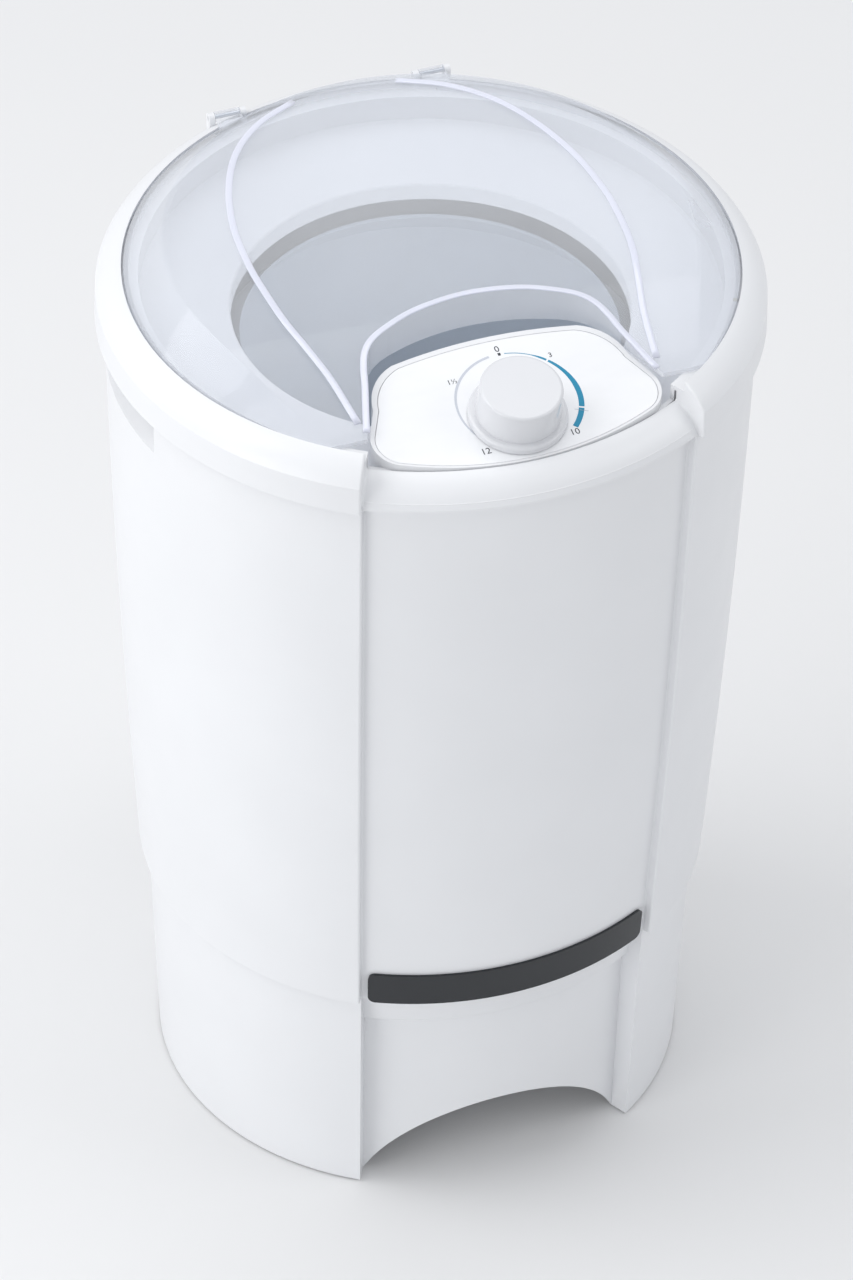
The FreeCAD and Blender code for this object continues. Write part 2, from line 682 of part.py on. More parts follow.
def cut_from(name, base, *tools):
    """Base with all tools cut out of it."""
    tool = tools[0] if len(tools) == 1 else fused(name + "_tools", *tools)
    thing = doc.addObject("Part::Cut", name)
    thing.Base = base
    thing.Tool = tool
    return thing


def fused(name, *pieces):
    thing = doc.addObject("Part::MultiFuse", name)
    thing.Shapes = list(pieces)
    return thing


def group(name, pieces):
    """Several like pieces that share one node and stay separate solids."""
    thing = doc.addObject("Part::Compound", name)
    thing.Links = list(pieces)
    return thing


def node(name, thing):
    """Name a finished sub-part; its name is also its file's name."""
    thing.Label = name
    nodes[name] = thing
    return thing


def on_circle(radius, angle):
    """The place at a radius and an angle counted from the front towards +X."""
    return {"across": as_size(radius) * sine(angle), "along": -(as_size(radius) * cosine(angle))}


# ------------------------------------------------------- places used by many pieces

cabinet_top_radius = size.cover_radius - size.cover_overhang
cabinet_top = size.cover_height
deck_foot = size.arch_peak + size.deck_gap
deck_top = deck_foot + size.deck_thickness
tower_end = deck_top + size.tower_height
plate_top = size.plate_height + size.plate_thickness
lid_foot = size.seat_height + size.lid_lift
mount_angles = (0, 120, 240)
FAR = 400.0


def from_front_axis(radius):
    """Where a radius at the middle of the front lies in the front's own frame."""
    return -(as_size(radius) + size.front_shift)


def panel_height(front):
    """Height of the control panel's face at a distance in front of the drum's axis."""
    return size.nose_height + size.panel_slope * (size.nose_radius - front)


panel_angle = Size(math.degrees(math.atan(size.panel_slope.value)), "atan(Sizes.panel_slope)")


# ------------------------------------------------------------------------- stand

def stand_solid(name, inset, wider):
    """The stand's outside, or with an inset the space inside its wall."""
    body = new_body(name)
    low = size.foot_stand if inset is None else -size.over
    high = size.stand_height if inset is None else size.stand_height + size.over
    inset = as_size(inset or 0)
    spin(body, name + "_round", [
        (0, low), (size.stand_floor_radius - inset, low),
        (size.stand_top_radius - inset, high), (0, high)])
    front = [
        (from_front_axis(size.stand_front_floor - inset), -2 * size.over),
        (from_front_axis(size.stand_front_wall - inset), size.shelf_height - size.shelf_drop),
        (from_front_axis(size.stand_front_shelf - inset), size.shelf_height),
        (from_front_axis(size.stand_front_top - inset), size.stand_height + 2 * size.over),
        (-FAR, size.stand_height + 2 * size.over), (-FAR, -2 * size.over)]
    spin_sector(body, name + "_front", front, size.front_angle + wider, "YZ_Plane",
                size.front_shift, cut=True)
    return body


def base_stand():
    """Arched stand: a wall with a stepped front, a deck, towers and foot bosses."""
    wall_angle = 2 * size.stand_wall / size.stand_front_floor * (180 / math.pi)
    outside = stand_solid("stand_outside", None, as_size(0))
    inside = stand_solid("stand_inside", size.stand_wall, wall_angle)
    extrude(inside, "deck_slab", size.deck_thickness, rings=[(0, 0, FAR)],
            shift=(0, 0, deck_top), cut=True)
    towers = []
    for index, angle in enumerate(mount_angles):
        towers.append(cone("tower_%d" % index, size.tower_foot, size.tower_top,
                           size.tower_height, up=deck_top, **on_circle(size.mount_circle, angle)))
    bosses = []
    pockets = []
    for index in range(4):
        angle = foot_angle(index)
        spot = on_circle(size.foot_circle, angle)
        bosses.append(cylinder("foot_boss_%d" % index, size.foot_radius + size.foot_wall,
                               size.foot_boss_height, up=size.foot_stand, **spot))
        pockets.append(cylinder("foot_pocket_%d" % index, size.foot_radius + size.gap,
                                size.foot_depth + size.gap, **spot))
    trimmed = doc.addObject("Part::MultiCommon", "foot_bosses")
    trimmed.Shapes = [fused("foot_boss_group", *bosses), outside]
    shell = cut_from("stand_shell", outside, inside)
    gland_boss = cylinder("gland_boss", size.gland_boss, size.gland_boss, tilt=90,
                          up=size.gland_height, across=size.gland_across, along=size.gland_back)
    whole = fused("stand_whole", shell, trimmed, gland_boss, *towers)
    arches = []
    for index, side in enumerate((-1, 1)):
        arches.append(cylinder("arch_%d" % index, size.arch_radius, 2 * size.mount_circle,
                               tilt=90, up=size.arch_peak - size.arch_radius,
                               along=size.mount_circle * (2 if side > 0 else 0)
                               + side * (size.stand_front_floor - 30)))
    vent = cylinder("deck_vent", size.deck_opening, size.over * 4, up=deck_foot - size.over)
    drain = cylinder("deck_drain", size.hose_radius + size.gap, size.over * 4,
                     up=deck_foot - size.over, along=size.drain_circle)
    gland = cylinder("gland_hole", size.gland_radius - size.gland_neck, 60, tilt=90,
                     up=size.gland_height, across=size.gland_across,
                     along=size.stand_floor_radius + 30)
    node("base_stand", cut_from("base_stand", whole, *pockets, *arches, vent, drain, gland))


def foot_angle(index):
    """Feet lie two and two, beside the front arch and beside the back arch."""
    side = 1 if index % 2 else -1
    if index < 2:
        return side * size.foot_angle
    return side * (180 - size.foot_angle)


def rubber_feet():
    feet = []
    for index in range(4):
        feet.append(cylinder("rubber_foot_%d" % index, size.foot_radius, size.foot_depth,
                             **on_circle(size.foot_circle, foot_angle(index))))
    node("rubber_feet", group("rubber_feet", feet))


# ----------------------------------------------------------------------- cabinet

def cabinet_solid(name, inset, wider):
    """The cabinet's outside, or with an inset the space inside its wall."""
    body = new_body(name)
    if inset is None:
        inset = as_size(0)
        flat = [(0, size.stand_height), (size.cabinet_low_radius, size.stand_height)]
        top = cabinet_top
    else:
        flange = size.cabinet_low_radius - size.flange_width
        ledge = size.stand_height + size.moulding
        flat = [(0, size.stand_height - size.over), (flange, size.stand_height - size.over),
                (flange, ledge), (size.cabinet_low_radius - inset, ledge)]
        top = cabinet_top + size.over
    spin(body, name + "_round", flat + [size.cabinet_bulge, (cabinet_top_radius - inset, top),
                                        (0, top)])
    low = size.stand_height - 2 * size.over
    high = cabinet_top + 2 * size.over
    foot = from_front_axis(size.cabinet_low_radius - size.front_recess - inset)
    head = from_front_axis(cabinet_top_radius - size.front_recess - inset)
    front = [(foot, low), (foot, size.stand_height), -size.cabinet_bulge,
             (head, cabinet_top), (head, high), (-FAR, high), (-FAR, low)]
    recess = spin_sector(body, name + "_front", front, size.front_angle + wider, "YZ_Plane",
                         size.front_shift, cut=True)
    if inset.value == 0:
        round_edges(body, name + "_step_rounds", recess, size.step_round, is_step_edge)
    grip_floor = size.cover_height - size.grip_drop - inset
    grip = spin_sector(body, name + "_grip", [
        (cabinet_top_radius + size.over, grip_floor),
        (cabinet_top_radius + size.over, high),
        (cabinet_top_radius - size.grip_depth - inset, high),
        (cabinet_top_radius - size.grip_depth - inset, grip_floor + size.grip_slope),
        (cabinet_top_radius - inset * 2, grip_floor)],
        size.grip_angle + wider, cut=True)
    repeat_round(body, name + "_grips", grip, 2)
    return body


def is_step_edge(edge):
    """True for the tall edges of the front's two steps."""
    box = edge.BoundBox
    tall = box.ZLength > 0.8 * (cabinet_top.value - size.stand_height.value)
    return tall and box.Center.y < 0 and abs(box.Center.x) > box.YLength


def cabinet_shell():
    """Barrel-shaped cabinet wall with a stepped front, a foot flange and two side grips."""
    wall_angle = 2 * size.moulding / size.cabinet_low_radius * (180 / math.pi)
    outside = cabinet_solid("cabinet_outside", None, as_size(0))
    inside = cabinet_solid("cabinet_inside", size.moulding, wall_angle)
    node("cabinet_shell", cut_from("cabinet_shell", outside, inside))


def trim_strip():
    """Dark strip across the foot of the cabinet's front, with rounded ends."""
    body = new_body("trim_strip")
    foot = size.cabinet_low_radius - size.front_recess + size.gap
    lean = (cabinet_top_radius - size.cabinet_low_radius) / (cabinet_top - size.stand_height)
    rise = size.strip_rise * lean * 1.4
    high = size.strip_low + size.strip_rise
    spin_sector(body, "strip_band", [
        (from_front_axis(foot), size.strip_low),
        (from_front_axis(foot + rise), high),
        (from_front_axis(foot + rise + size.strip_thickness), high),
        (from_front_axis(foot + size.strip_thickness), size.strip_low)],
        size.strip_angle, "YZ_Plane", size.front_shift)
    round_edges(body, "strip_corners", body.Tip, size.strip_corner, is_strip_corner)
    node("trim_strip", body)


def is_strip_corner(edge):
    """True for the four short edges at the strip's ends."""
    return edge.Length < 1.5 * size.strip_thickness.value


# --------------------------------------------------------------------- top cover

def cover_solid(name, inset, wider):
    """The outside of the top cover's ring, or with an inset the space under it."""
    body = new_body(name)
    low = size.cover_height if inset is None else size.cover_height - size.over
    inset = as_size(inset or 0)
    crease = size.cover_radius - size.skirt_lean - inset
    spin(body, name + "_round", [
        (0, low), (size.cover_radius - inset, low), (crease, size.crease_height - inset / 3),
        size.shoulder_radius - inset, (size.rim_radius + inset / 2, size.rim_height - inset),
        (0, size.rim_height - inset)])
    front_foot = size.cover_radius - size.cover_front_recess - inset
    far_down = low - size.over
    recess = spin_sector(body, name + "_front", [
        (from_front_axis(front_foot), far_down),
        (from_front_axis(front_foot), size.cover_height + 2),
        -(size.nose_round - inset),
        (from_front_axis(size.nose_radius + inset / 4), size.nose_height - inset),
        (from_front_axis(size.nose_radius + inset / 4), size.rim_height + size.over),
        (-FAR, size.rim_height + size.over), (-FAR, far_down)],
        size.front_angle + wider, "YZ_Plane", size.front_shift, cut=True)
    if inset.value == 0:
        round_edges(body, name + "_end_rounds", recess, size.cover_end_round, is_ring_end)
    return body


def is_ring_end(edge):
    """True for the outer edges of the ring's two ends beside the stepped front."""
    box = edge.BoundBox
    outer = math.hypot(max(abs(box.XMin), abs(box.XMax)), box.YMin)
    beside = abs(box.Center.x) > size.pod_side_across.value and box.Center.y < 0
    upright = box.XLength < 20 and box.ZLength > 5
    return beside and upright and outer > size.rim_radius.value + 5


def pod_outline(inset, front_inset=None):
    """Plan of the control pod, shrunk by inset: sides, rounded corners, curved ends."""
    front_inset = inset if front_inset is None else front_inset
    slant = (size.pod_side_across - size.pod_corner_across) / (
        size.pod_side_front - size.pod_corner_front)
    step = inset / root(1 + slant * slant)
    side = size.pod_side_across - step
    side_front = -(size.pod_side_front + slant * step)
    corner = size.pod_corner_across - inset
    back = -size.pod_corner_front - inset / 2
    lead = size.pod_corner_lead
    start_across = corner + slant * lead
    middle = -size.pod_back - inset
    end_along = middle - (size.pod_corner_front - size.pod_back) / 3
    reach = size.nose_radius + size.front_shift - size.pod_nose_step
    ahead = root(reach * reach - size.pod_nose_across * size.pod_nose_across)
    nose = size.pod_nose_across * (reach - front_inset) / reach
    nose_front = size.front_shift - ahead * (reach - front_inset) / reach
    turn = size.pod_nose_arc - (inset + front_inset) / 2
    return [
        (nose, nose_front), turn, (side, side_front), (start_across, back - lead),
        size.pod_corner_arc, (corner - lead, end_along),
        size.pod_back_bulge, (lead - corner, end_along),
        size.pod_corner_arc, (-start_across, back - lead),
        (-side, side_front), turn, (-nose, nose_front), reach - front_inset]


def pod_solid(name, inset, low, drop):
    """A prism over the pod's plan, cut off along the panel's slope less drop."""
    body = new_body(name)
    extrude(body, name + "_prism", size.rim_height + 3 * size.over - low,
            paths=[pod_outline(inset)], shift=(0, 0, low))
    slope_cut(body, name + "_slope", drop)
    return body


def slope_cut(body, name, drop):
    """Cut away what lies above the panel's face less drop."""
    near = size.pod_back - 5 * size.over
    extrude(body, name, 2 * FAR, both=True, cut=True, plane="YZ_Plane", paths=[[
        (-near, panel_height(near) - drop), (-near, FAR * 4), (-FAR, FAR * 4),
        (-FAR, panel_height(as_size(FAR)) - drop)]])


def top_cover():
    """One moulding: skirt and shoulder, lid seat, apron, collar, pod and hinge ears."""
    wall = size.moulding
    wall_angle = 2 * wall / size.cover_radius * (180 / math.pi)
    outside = cover_solid("cover_outside", None, as_size(0))
    inside = cover_solid("cover_inside", wall, wall_angle)
    bore = cylinder("cover_bore", size.wall_radius + wall / 2, 4 * size.over,
                    up=size.cover_height - size.over)
    well = cylinder("lid_well", size.rim_radius, 4 * size.over, up=size.seat_height)
    shell = cut_from("cover_ring", outside, inside, bore, well)

    funnel = new_body("cover_funnel")
    mouth_height = size.wall_foot - size.apron_drop
    spin(funnel, "funnel", [
        (size.rim_radius + wall, size.seat_height - wall),
        (size.rim_radius + wall, size.seat_height),
        (size.wall_radius, size.seat_height), (size.wall_radius, size.wall_foot + 1),
        (size.apron_outer, size.wall_foot), (size.mouth_radius + 1, mouth_height),
        (size.mouth_radius, mouth_height - 1),
        (size.mouth_radius, mouth_height - size.collar_depth),
        (size.mouth_radius + wall, mouth_height - size.collar_depth),
        (size.mouth_radius + wall, mouth_height - wall),
        (size.apron_outer, size.wall_foot - wall),
        (size.wall_radius + wall, size.wall_foot - wall),
        (size.wall_radius + wall, size.seat_height - wall)])
    seat = new_body("cover_seat_rib")
    spin(seat, "seat_rib", [
        (cabinet_top_radius - wall, cabinet_top + size.gap),
        (cabinet_top_radius + wall, cabinet_top + size.gap),
        (cabinet_top_radius + wall, size.crease_height),
        (cabinet_top_radius - wall, size.crease_height + wall)])
    front_rib = new_body("cover_front_rib")
    front_face = size.cover_radius - size.cover_front_recess
    cabinet_front = cabinet_top_radius - size.front_recess
    spin_sector(front_rib, "front_rib", [
        (from_front_axis(front_face - wall / 2), cabinet_top + size.gap),
        (from_front_axis(cabinet_front - wall), cabinet_top + size.gap),
        (from_front_axis(cabinet_front - wall), cabinet_top + 3 * wall),
        (from_front_axis(front_face - wall / 2), cabinet_top + 2 * wall)],
        size.front_angle + wall_angle / 2, "YZ_Plane", size.front_shift)
    ribs = doc.addObject("Part::MultiCommon", "cover_inner_parts")
    ribs.Shapes = [fused("cover_inner_group", funnel, seat), outside_block()]
    pod = pod_solid("pod_outside", as_size(0), size.wall_foot - size.apron_drop, as_size(0))
    hollow = pod_solid("pod_inside", wall, size.cover_height - size.over,
                       wall + size.panel_thickness)
    keep = cylinder("pod_hollow_keep", size.mouth_radius + 3 * wall, 6 * size.over,
                    up=mouth_height + wall / 2 - 6 * size.over)
    pod_space = cut_from("pod_space", hollow, keep)
    panel_seat = panel_prism("panel_seat", size.panel_border, as_size(0))
    ears = fused("hinge_ears", *[hinge_ear(side, end) for side in (-1, 1) for end in (-1, 1)])
    whole = fused("cover_whole", shell, ribs, front_rib, pod, ears)
    shaft_hole = dial_bore("cover_dial_bore")
    pin_holes = [hinge_cylinder("ear_bore_%d" % side, side, size.pin_radius + size.running_gap,
                                size.hinge_width + 2) for side in (-1, 1)]
    plunger_hole = cylinder("plunger_hole", size.plunger_radius + size.gap, size.over,
                            up=size.seat_height - size.over / 2,
                            **on_circle(size.switch_circle, size.switch_angle))
    pockets = [hinge_pocket(side) for side in (-1, 1)]
    node("top_cover", cut_from("top_cover", whole, pod_space, panel_seat, shaft_hole,
                               plunger_hole, *pin_holes, *pockets))


def hinge_pocket(side):
    """Room in the ring between two ears for the lid's barrel and its arm."""
    width = size.hinge_width - 2 * size.ear_width
    room = size.ear_radius + 1.5 * size.gap
    round_part = hinge_cylinder("pocket_round_%d" % side, side, room, width)
    depth = 4 * size.ear_radius
    flat_part = block("pocket_flat_%d" % side, width, depth, size.over,
                      across=side * size.hinge_across, along=size.hinge_back - depth / 2,
                      up=size.hinge_height - size.ear_radius / 2 - size.gap)
    return fused("hinge_pocket_%d" % side, round_part, flat_part)


def outside_block():
    """The cover's outline carried down, which trims the funnel and rib to the front."""
    body = new_body("cover_trim_block")
    low = size.cover_height - 3 * size.over
    high = size.rim_height + size.over
    spin(body, "trim_round", [(0, low), (size.cover_radius, low), (size.cover_radius, high),
                              (0, high)])
    wall = size.moulding
    spin_sector(body, "trim_front", [
        (from_front_axis(size.cover_radius - size.cover_front_recess - wall / 2), low - 1),
        (from_front_axis(size.nose_radius), size.nose_height - wall / 2),
        (from_front_axis(size.nose_radius - size.over), size.nose_height - wall / 2),
        (from_front_axis(size.nose_radius - size.over), high + 1),
        (-FAR, high + 1), (-FAR, low - 1)],
        size.front_angle, "YZ_Plane", size.front_shift, cut=True)
    return body


def hinge_cylinder(name, side, radius, length):
    """A cylinder along the hinge's axis, centred on one hinge."""
    thing = doc.addObject("Part::Cylinder", name)
    bind(thing, "Radius", radius)
    bind(thing, "Height", length)
    thing.Placement = FreeCAD.Placement(
        FreeCAD.Vector(0, 0, 0), FreeCAD.Rotation(FreeCAD.Vector(0, 1, 0), 90))
    bind(thing, "Placement.Base.x", side * size.hinge_across - as_size(length) / 2)
    bind(thing, "Placement.Base.y", size.hinge_back)
    bind(thing, "Placement.Base.z", size.hinge_height)
    return thing


def hinge_ear(side, end):
    """One of the two ears that carry a hinge pin."""
    name = "ear_%s_%s" % ("left" if side < 0 else "right", "out" if end * side > 0 else "in")
    body = new_body(name)
    radius = size.ear_radius
    foot = size.crease_height
    middle = side * size.hinge_across + end * (size.hinge_width - size.ear_width) / 2
    extrude(body, name + "_pad", size.ear_width, both=True, plane="YZ_Plane",
            shift=(0, 0, middle), paths=[[
                (size.hinge_back - radius, foot), (size.hinge_back + radius, foot),
                (size.hinge_back + radius, size.hinge_height), radius * 1.0001,
                (size.hinge_back - radius, size.hinge_height)]])
    return body


# ------------------------------------------------------------- panel, dial and timer

def panel_prism(name, border, clearance):
    """The control panel's space: the pod's plan less a border, down to its seat."""
    inset = border + clearance
    body = new_body(name)
    low = size.cover_height
    extrude(body, name + "_prism", 6 * size.over, paths=[pod_outline(inset, border / 2 + clearance)],
            shift=(0, 0, low))
    near = size.pod_back - 5 * size.over
    if clearance.value:
        slope_cut(body, name + "_slope", as_size(0))
    extrude(body, name + "_under", 2 * FAR, both=True, cut=True, plane="YZ_Plane", paths=[[
        (-near, panel_height(near) - size.panel_thickness),
        (-FAR, panel_height(as_size(FAR)) - size.panel_thickness),
        (-FAR, 0), (-near, 0)]])
    return body


def control_panel():
    body = panel_prism("control_panel", size.panel_border, size.gap)
    node("control_panel", cut_from("control_panel_cut", body, dial_bore("panel_dial_bore")))


def on_panel(body):
    """Stand a body on the dial's middle, square to the panel's face."""
    return place(body, along=-size.dial_front, up=panel_height(size.dial_front),
                 tilt=panel_angle)


def dial_bore(name):
    """A hole for the timer's shaft, square to the panel's face."""
    body = new_body(name)
    reach = 2 * size.over
    radius = size.timer_shaft_radius + 1
    spin(body, name + "_form", [(0, -reach), (radius, -reach), (radius, reach), (0, reach)])
    return on_panel(body)


def timer_knob():
    """Hollow knob: flange, tapered grip with a rounded top, and a hub for the shaft."""
    body = new_body("timer_knob")
    foot = size.knob_lift
    flange = foot + size.knob_flange_height
    wall = size.knob_wall
    shaft = size.timer_shaft_radius
    inner = size.knob_height - wall
    spin(body, "knob_form", [
        (shaft, foot), (2 * shaft, foot), (2 * shaft, inner - 2 * wall),
        (2 * shaft, inner), (size.knob_top_radius - wall, inner),
        (size.knob_grip_radius - wall, foot), (size.knob_flange_radius, foot),
        (size.knob_flange_radius, flange - size.knob_edge), size.knob_edge,
        (size.knob_flange_radius - size.knob_edge, flange),
        (size.knob_grip_radius, flange),
        (size.knob_top_radius, size.knob_height - size.knob_edge), size.knob_edge,
        (size.knob_top_radius - size.knob_edge, size.knob_height), (0, size.knob_height),
        (0, inner - wall), (shaft, inner - wall)])
    node("timer_knob", on_panel(body))


def timer_shaft():
    body = new_body("timer_shaft")
    extrude(body, "shaft_pad", size.knob_height - 2 * size.knob_wall + size.timer_depth / 2
            + size.panel_thickness + size.moulding,
            rings=[(0, 0, size.timer_shaft_radius - size.running_gap)],
            shift=(0, 0, -(size.timer_depth / 2 + size.panel_thickness + size.moulding)))
    node("timer_shaft", on_panel(body))


def timer_body():
    """Timer's case under the pod's roof, open at its middle for the turning shaft."""
    body = new_body("timer_body")
    top = -(size.panel_thickness + size.moulding)
    bore = size.timer_shaft_radius
    deep = top - size.timer_depth / 2 - 1
    spin(body, "timer_case", [
        (0, top - size.timer_depth), (size.timer_radius, top - size.timer_depth),
        (size.timer_radius, top - 2), (size.timer_radius / 2, top - 2),
        (size.timer_radius / 2, top), (bore, top), (bore, deep), (0, deep)])
    node("timer_body", on_panel(body))


# --------------------------------------------------------------------------- lid

def lid_section(body, name, front, rim, rim_height, crest, crest_height, low):
    """One cross-section of the lid's front half."""
    sketch = new_sketch(body, name, "XZ_Plane", (0, 0, front))
    outline(sketch, [(-rim, low), (rim, low), (rim, rim_height), (crest, crest_height),
                     (-crest, crest_height), (-rim, rim_height)])
    return sketch


def lid_solid(name, inset, low, notch_inset):
    """The lid's outside, or with an inset the space under it."""
    body = new_body(name)
    rim = size.lid_radius - inset
    rim_top = size.rim_height
    crest = size.lid_crest_radius - inset * 0.8
    top = size.lid_top - inset
    back = spin_sector(body, name + "_back", [
        (0, low), (rim, low), (rim, rim_top - inset * 0.4), (crest, top), (0, top)],
        as_size(180), "YZ_Plane")
    back.Midplane = True
    sections = [lid_section(body, name + "_section_0", as_size(0), rim,
                            rim_top - inset * 0.4, crest, top, low)]
    stations = (
        (size.lid_station_1, rim_top, size.lid_crest_1, size.lid_crest_height_1),
        (size.lid_station_2, rim_top, size.lid_crest_2, size.lid_crest_height_2),
        (size.lid_station_3, size.lid_rim_height_3, size.lid_crest_3, size.lid_crest_height_3),
        (size.lid_front - inset, size.lid_rim_height_4, size.lid_crest_4,
         size.lid_crest_height_4))
    for index, (front, rim_height, crest_across, crest_height) in enumerate(stations, start=1):
        across = root(size.lid_radius * size.lid_radius - front * front) - inset
        sections.append(lid_section(body, name + "_section_%d" % index, front, across,
                                    rim_height - inset * 0.7, crest_across - inset * 0.8,
                                    crest_height - inset, low))
    loft = body.newObject("PartDesign::AdditiveLoft", name + "_front")
    loft.Profile = sections[0]
    loft.Sections = sections[1:]
    notch = notch_outline(notch_inset)
    extrude(body, name + "_notch", FAR, paths=[notch], shift=(0, 0, size.lid_top + size.over),
            cut=True)
    return body


def notch_outline(grow):
    """Plan of the lid's notch round the control pod, grown by the wall inside."""
    corner = size.notch_corner_across + grow
    lead = size.notch_corner_lead
    back = -size.notch_corner_front + grow
    slant = (size.notch_front_across - size.notch_corner_across) / (
        size.lid_front - size.notch_corner_front)
    front = size.lid_front + 2 * size.over
    front_across = size.notch_front_across + grow + slant * 2 * size.over
    start_across = corner + slant * lead
    along = back + (size.notch_corner_front - size.notch_back) / 3
    return [
        (front_across, -front), (start_across, back - lead), size.notch_corner_arc,
        (corner - lead, along), size.notch_back_bulge, (lead - corner, along),
        size.notch_corner_arc, (-start_across, back - lead), (-front_across, -front)]


def lid():
    """Clear lid: a domed shell with a notch for the pod and two hinge barrels."""
    outside = lid_solid("lid_outside", as_size(0), lid_foot, as_size(0))
    inside = lid_solid("lid_inside", size.lid_wall, lid_foot - size.over, size.lid_wall)
    shell = cut_from("lid_shell", outside, inside)
    width = size.hinge_width - 2 * size.ear_width - 2 * size.gap
    arms = []
    for side in (-1, 1):
        barrel = hinge_cylinder("lid_barrel_%d" % side, side, size.ear_radius, width)
        rim_back = root(size.lid_radius * size.lid_radius - size.hinge_across * size.hinge_across)
        reach = size.hinge_back - rim_back + 2 * size.lid_wall
        arm = block("lid_arm_%d" % side, width, reach, size.ear_radius,
                    across=side * size.hinge_across, along=size.hinge_back - reach / 2,
                    up=size.hinge_height - size.ear_radius / 2)
        arms += [barrel, arm]
    joined_up = fused("lid_with_barrels", shell, *arms)
    bores = [hinge_cylinder("barrel_bore_%d" % side, side, size.pin_radius + size.running_gap,
                            size.hinge_width) for side in (-1, 1)]
    relief = block("lid_back_relief", 2 * size.hinge_across, 4 * size.over,
                   2 * size.over + size.hinge_relief, along=size.hinge_back,
                   up=lid_foot - 2 * size.over)
    ear_front = size.hinge_back - size.ear_radius - 3 * size.gap
    ear_middle = size.hinge_across - (size.hinge_width - size.ear_width) / 2
    ear_reliefs = [block("lid_ear_relief_%d" % side, size.ear_width + 4 * size.gap,
                         2 * size.over, 4 * size.over, across=side * ear_middle,
                         along=ear_front + size.over, up=lid_foot - 2 * size.over)
                   for side in (-1, 1)]
    inner_room = doc.addObject("Part::MultiCommon", "lid_arm_overrun")
    inner_room.Shapes = [inside, fused("lid_arm_copies", *arms)]
    node("lid", cut_from("lid", joined_up, *bores, inner_room, relief, *ear_reliefs))


def hinge_pins():
    pins = [hinge_cylinder("hinge_pin_%d" % side, side, size.pin_radius, size.hinge_width)
            for side in (-1, 1)]
    node("hinge_pins", group("hinge_pins", pins))


# ------------------------------------------------------------------ tub and gasket

def outer_tub():
    """Open tub with a floor that falls to the drain, and a rim under the gasket."""
    body = new_body("tub_form")
    wall = size.tub_wall
    inner = size.tub_radius - wall
    spin(body, "tub_shell", [
        (size.housing_radius + size.gap, size.tub_floor - wall),
        (size.tub_seat_radius, size.tub_floor - wall),
        (inner, size.tub_floor - wall - size.tub_slope),
        (size.tub_radius, size.tub_floor - size.tub_slope), (size.tub_radius, size.tub_top - wall),
        (size.tub_radius + size.tub_rim_width, size.tub_top - wall),
        (size.tub_radius + size.tub_rim_width, size.tub_top), (inner, size.tub_top),
        (inner, size.tub_floor - size.tub_slope + wall), (size.tub_seat_radius, size.tub_floor),
        (size.housing_radius + size.gap, size.tub_floor)])
    stub = cylinder("tub_stub", size.hose_radius - size.hose_wall - size.gap, 20,
                    along=size.drain_circle, up=size.tub_floor - 24)
    bore = cylinder("tub_drain", size.hose_radius - 2 * size.hose_wall - size.gap, 35,
                    along=size.drain_circle, up=size.tub_floor - 26)
    whole = fused("tub_with_stub", body, stub)
    node("outer_tub", cut_from("outer_tub", whole, bore))


def tub_gasket():
    """Rubber bellows between the tub's rim and the top cover's apron."""
    body = new_body("tub_gasket")
    low = size.tub_top + size.gap
    apron_rise = size.apron_drop / (size.apron_outer - size.mouth_radius)
    inner = size.tub_radius - size.tub_wall
    under = size.wall_foot - size.apron_drop - size.moulding - size.gap
    high = under + apron_rise * (inner - size.mouth_radius) - 1
    middle = (low + high) / 2
    spin(body, "gasket", [
        (inner, low), (inner + 9, low), (inner + 9, low + 3), (inner + 3, low + 3),
        (inner + 8, middle), (inner + 3, high - 3), (inner + 9, high - 3), (inner + 9, high),
        (inner, high), (inner, high - 4), (inner + 5, middle), (inner, low + 4)])
    node("tub_gasket", body)


# -------------------------------------------------------------------------- drum

def drum_basket():
    """Spun steel drum: rounded floor, straight wall with rows of holes, turned-in mouth."""
    body = new_body("drum_basket")
    wall = size.drum_wall
    outer = size.drum_radius
    floor = size.drum_floor
    turn = size.drum_floor_round
    spin(body, "drum_shell", [
        (size.hub_neck_radius, floor), (outer - turn, floor), turn, (outer, floor + turn),
        (outer, size.drum_shoulder), (size.drum_mouth_radius, size.drum_mouth_height),
        (size.drum_mouth_radius, size.drum_mouth_height - 2 * wall),
        (outer - wall, size.drum_shoulder - wall), (outer - wall, floor + turn), -(turn - wall),
        (outer - turn, floor + wall), (size.hub_neck_radius, floor + wall)])
    rows = int(size.hole_rows.value)
    rings = [(0, size.hole_first_row + row * size.hole_pitch, size.hole_radius)
             for row in range(rows)]
    holes = extrude(body, "drum_holes", 2 * outer, rings=rings, plane="XZ_Plane", cut=True,
                    back=True)
    repeat_round(body, "drum_hole_pattern", holes, size.hole_columns)
    screw_holes(body, "drum_floor_hole")
    node("drum_basket", body)


def screw_holes(body, name):
    """Holes for the drum's screws, through the drum's floor and the hub's flange."""
    hole = extrude(body, name, 2 * size.over, rings=[(0, -size.screw_circle, size.screw_radius)],
                   shift=(0, 0, size.drum_floor + size.over), cut=True)
    repeat_round(body, name + "_pattern", hole, size.screw_count)


def drum_screws():
    """Screws that clamp the drum's floor on the hub's flange, under the cap."""
    shank = size.screw_radius - size.running_gap
    head_foot = size.drum_floor + size.drum_wall
    screws = []
    for index in range(int(size.screw_count.value)):
        spot = on_circle(size.screw_circle, as_size(360) / size.screw_count * index)
        screws.append(fused("drum_screw_%d" % index, cylinder(
            "screw_shank_%d" % index, shank, size.hub_flange + size.drum_wall + size.screw_head,
            up=size.drum_floor - size.hub_flange, **spot), cylinder(
            "screw_head_%d" % index, size.screw_head_radius, size.screw_head, up=head_foot,
            **spot)))
    node("drum_screws", group("drum_screws", screws))


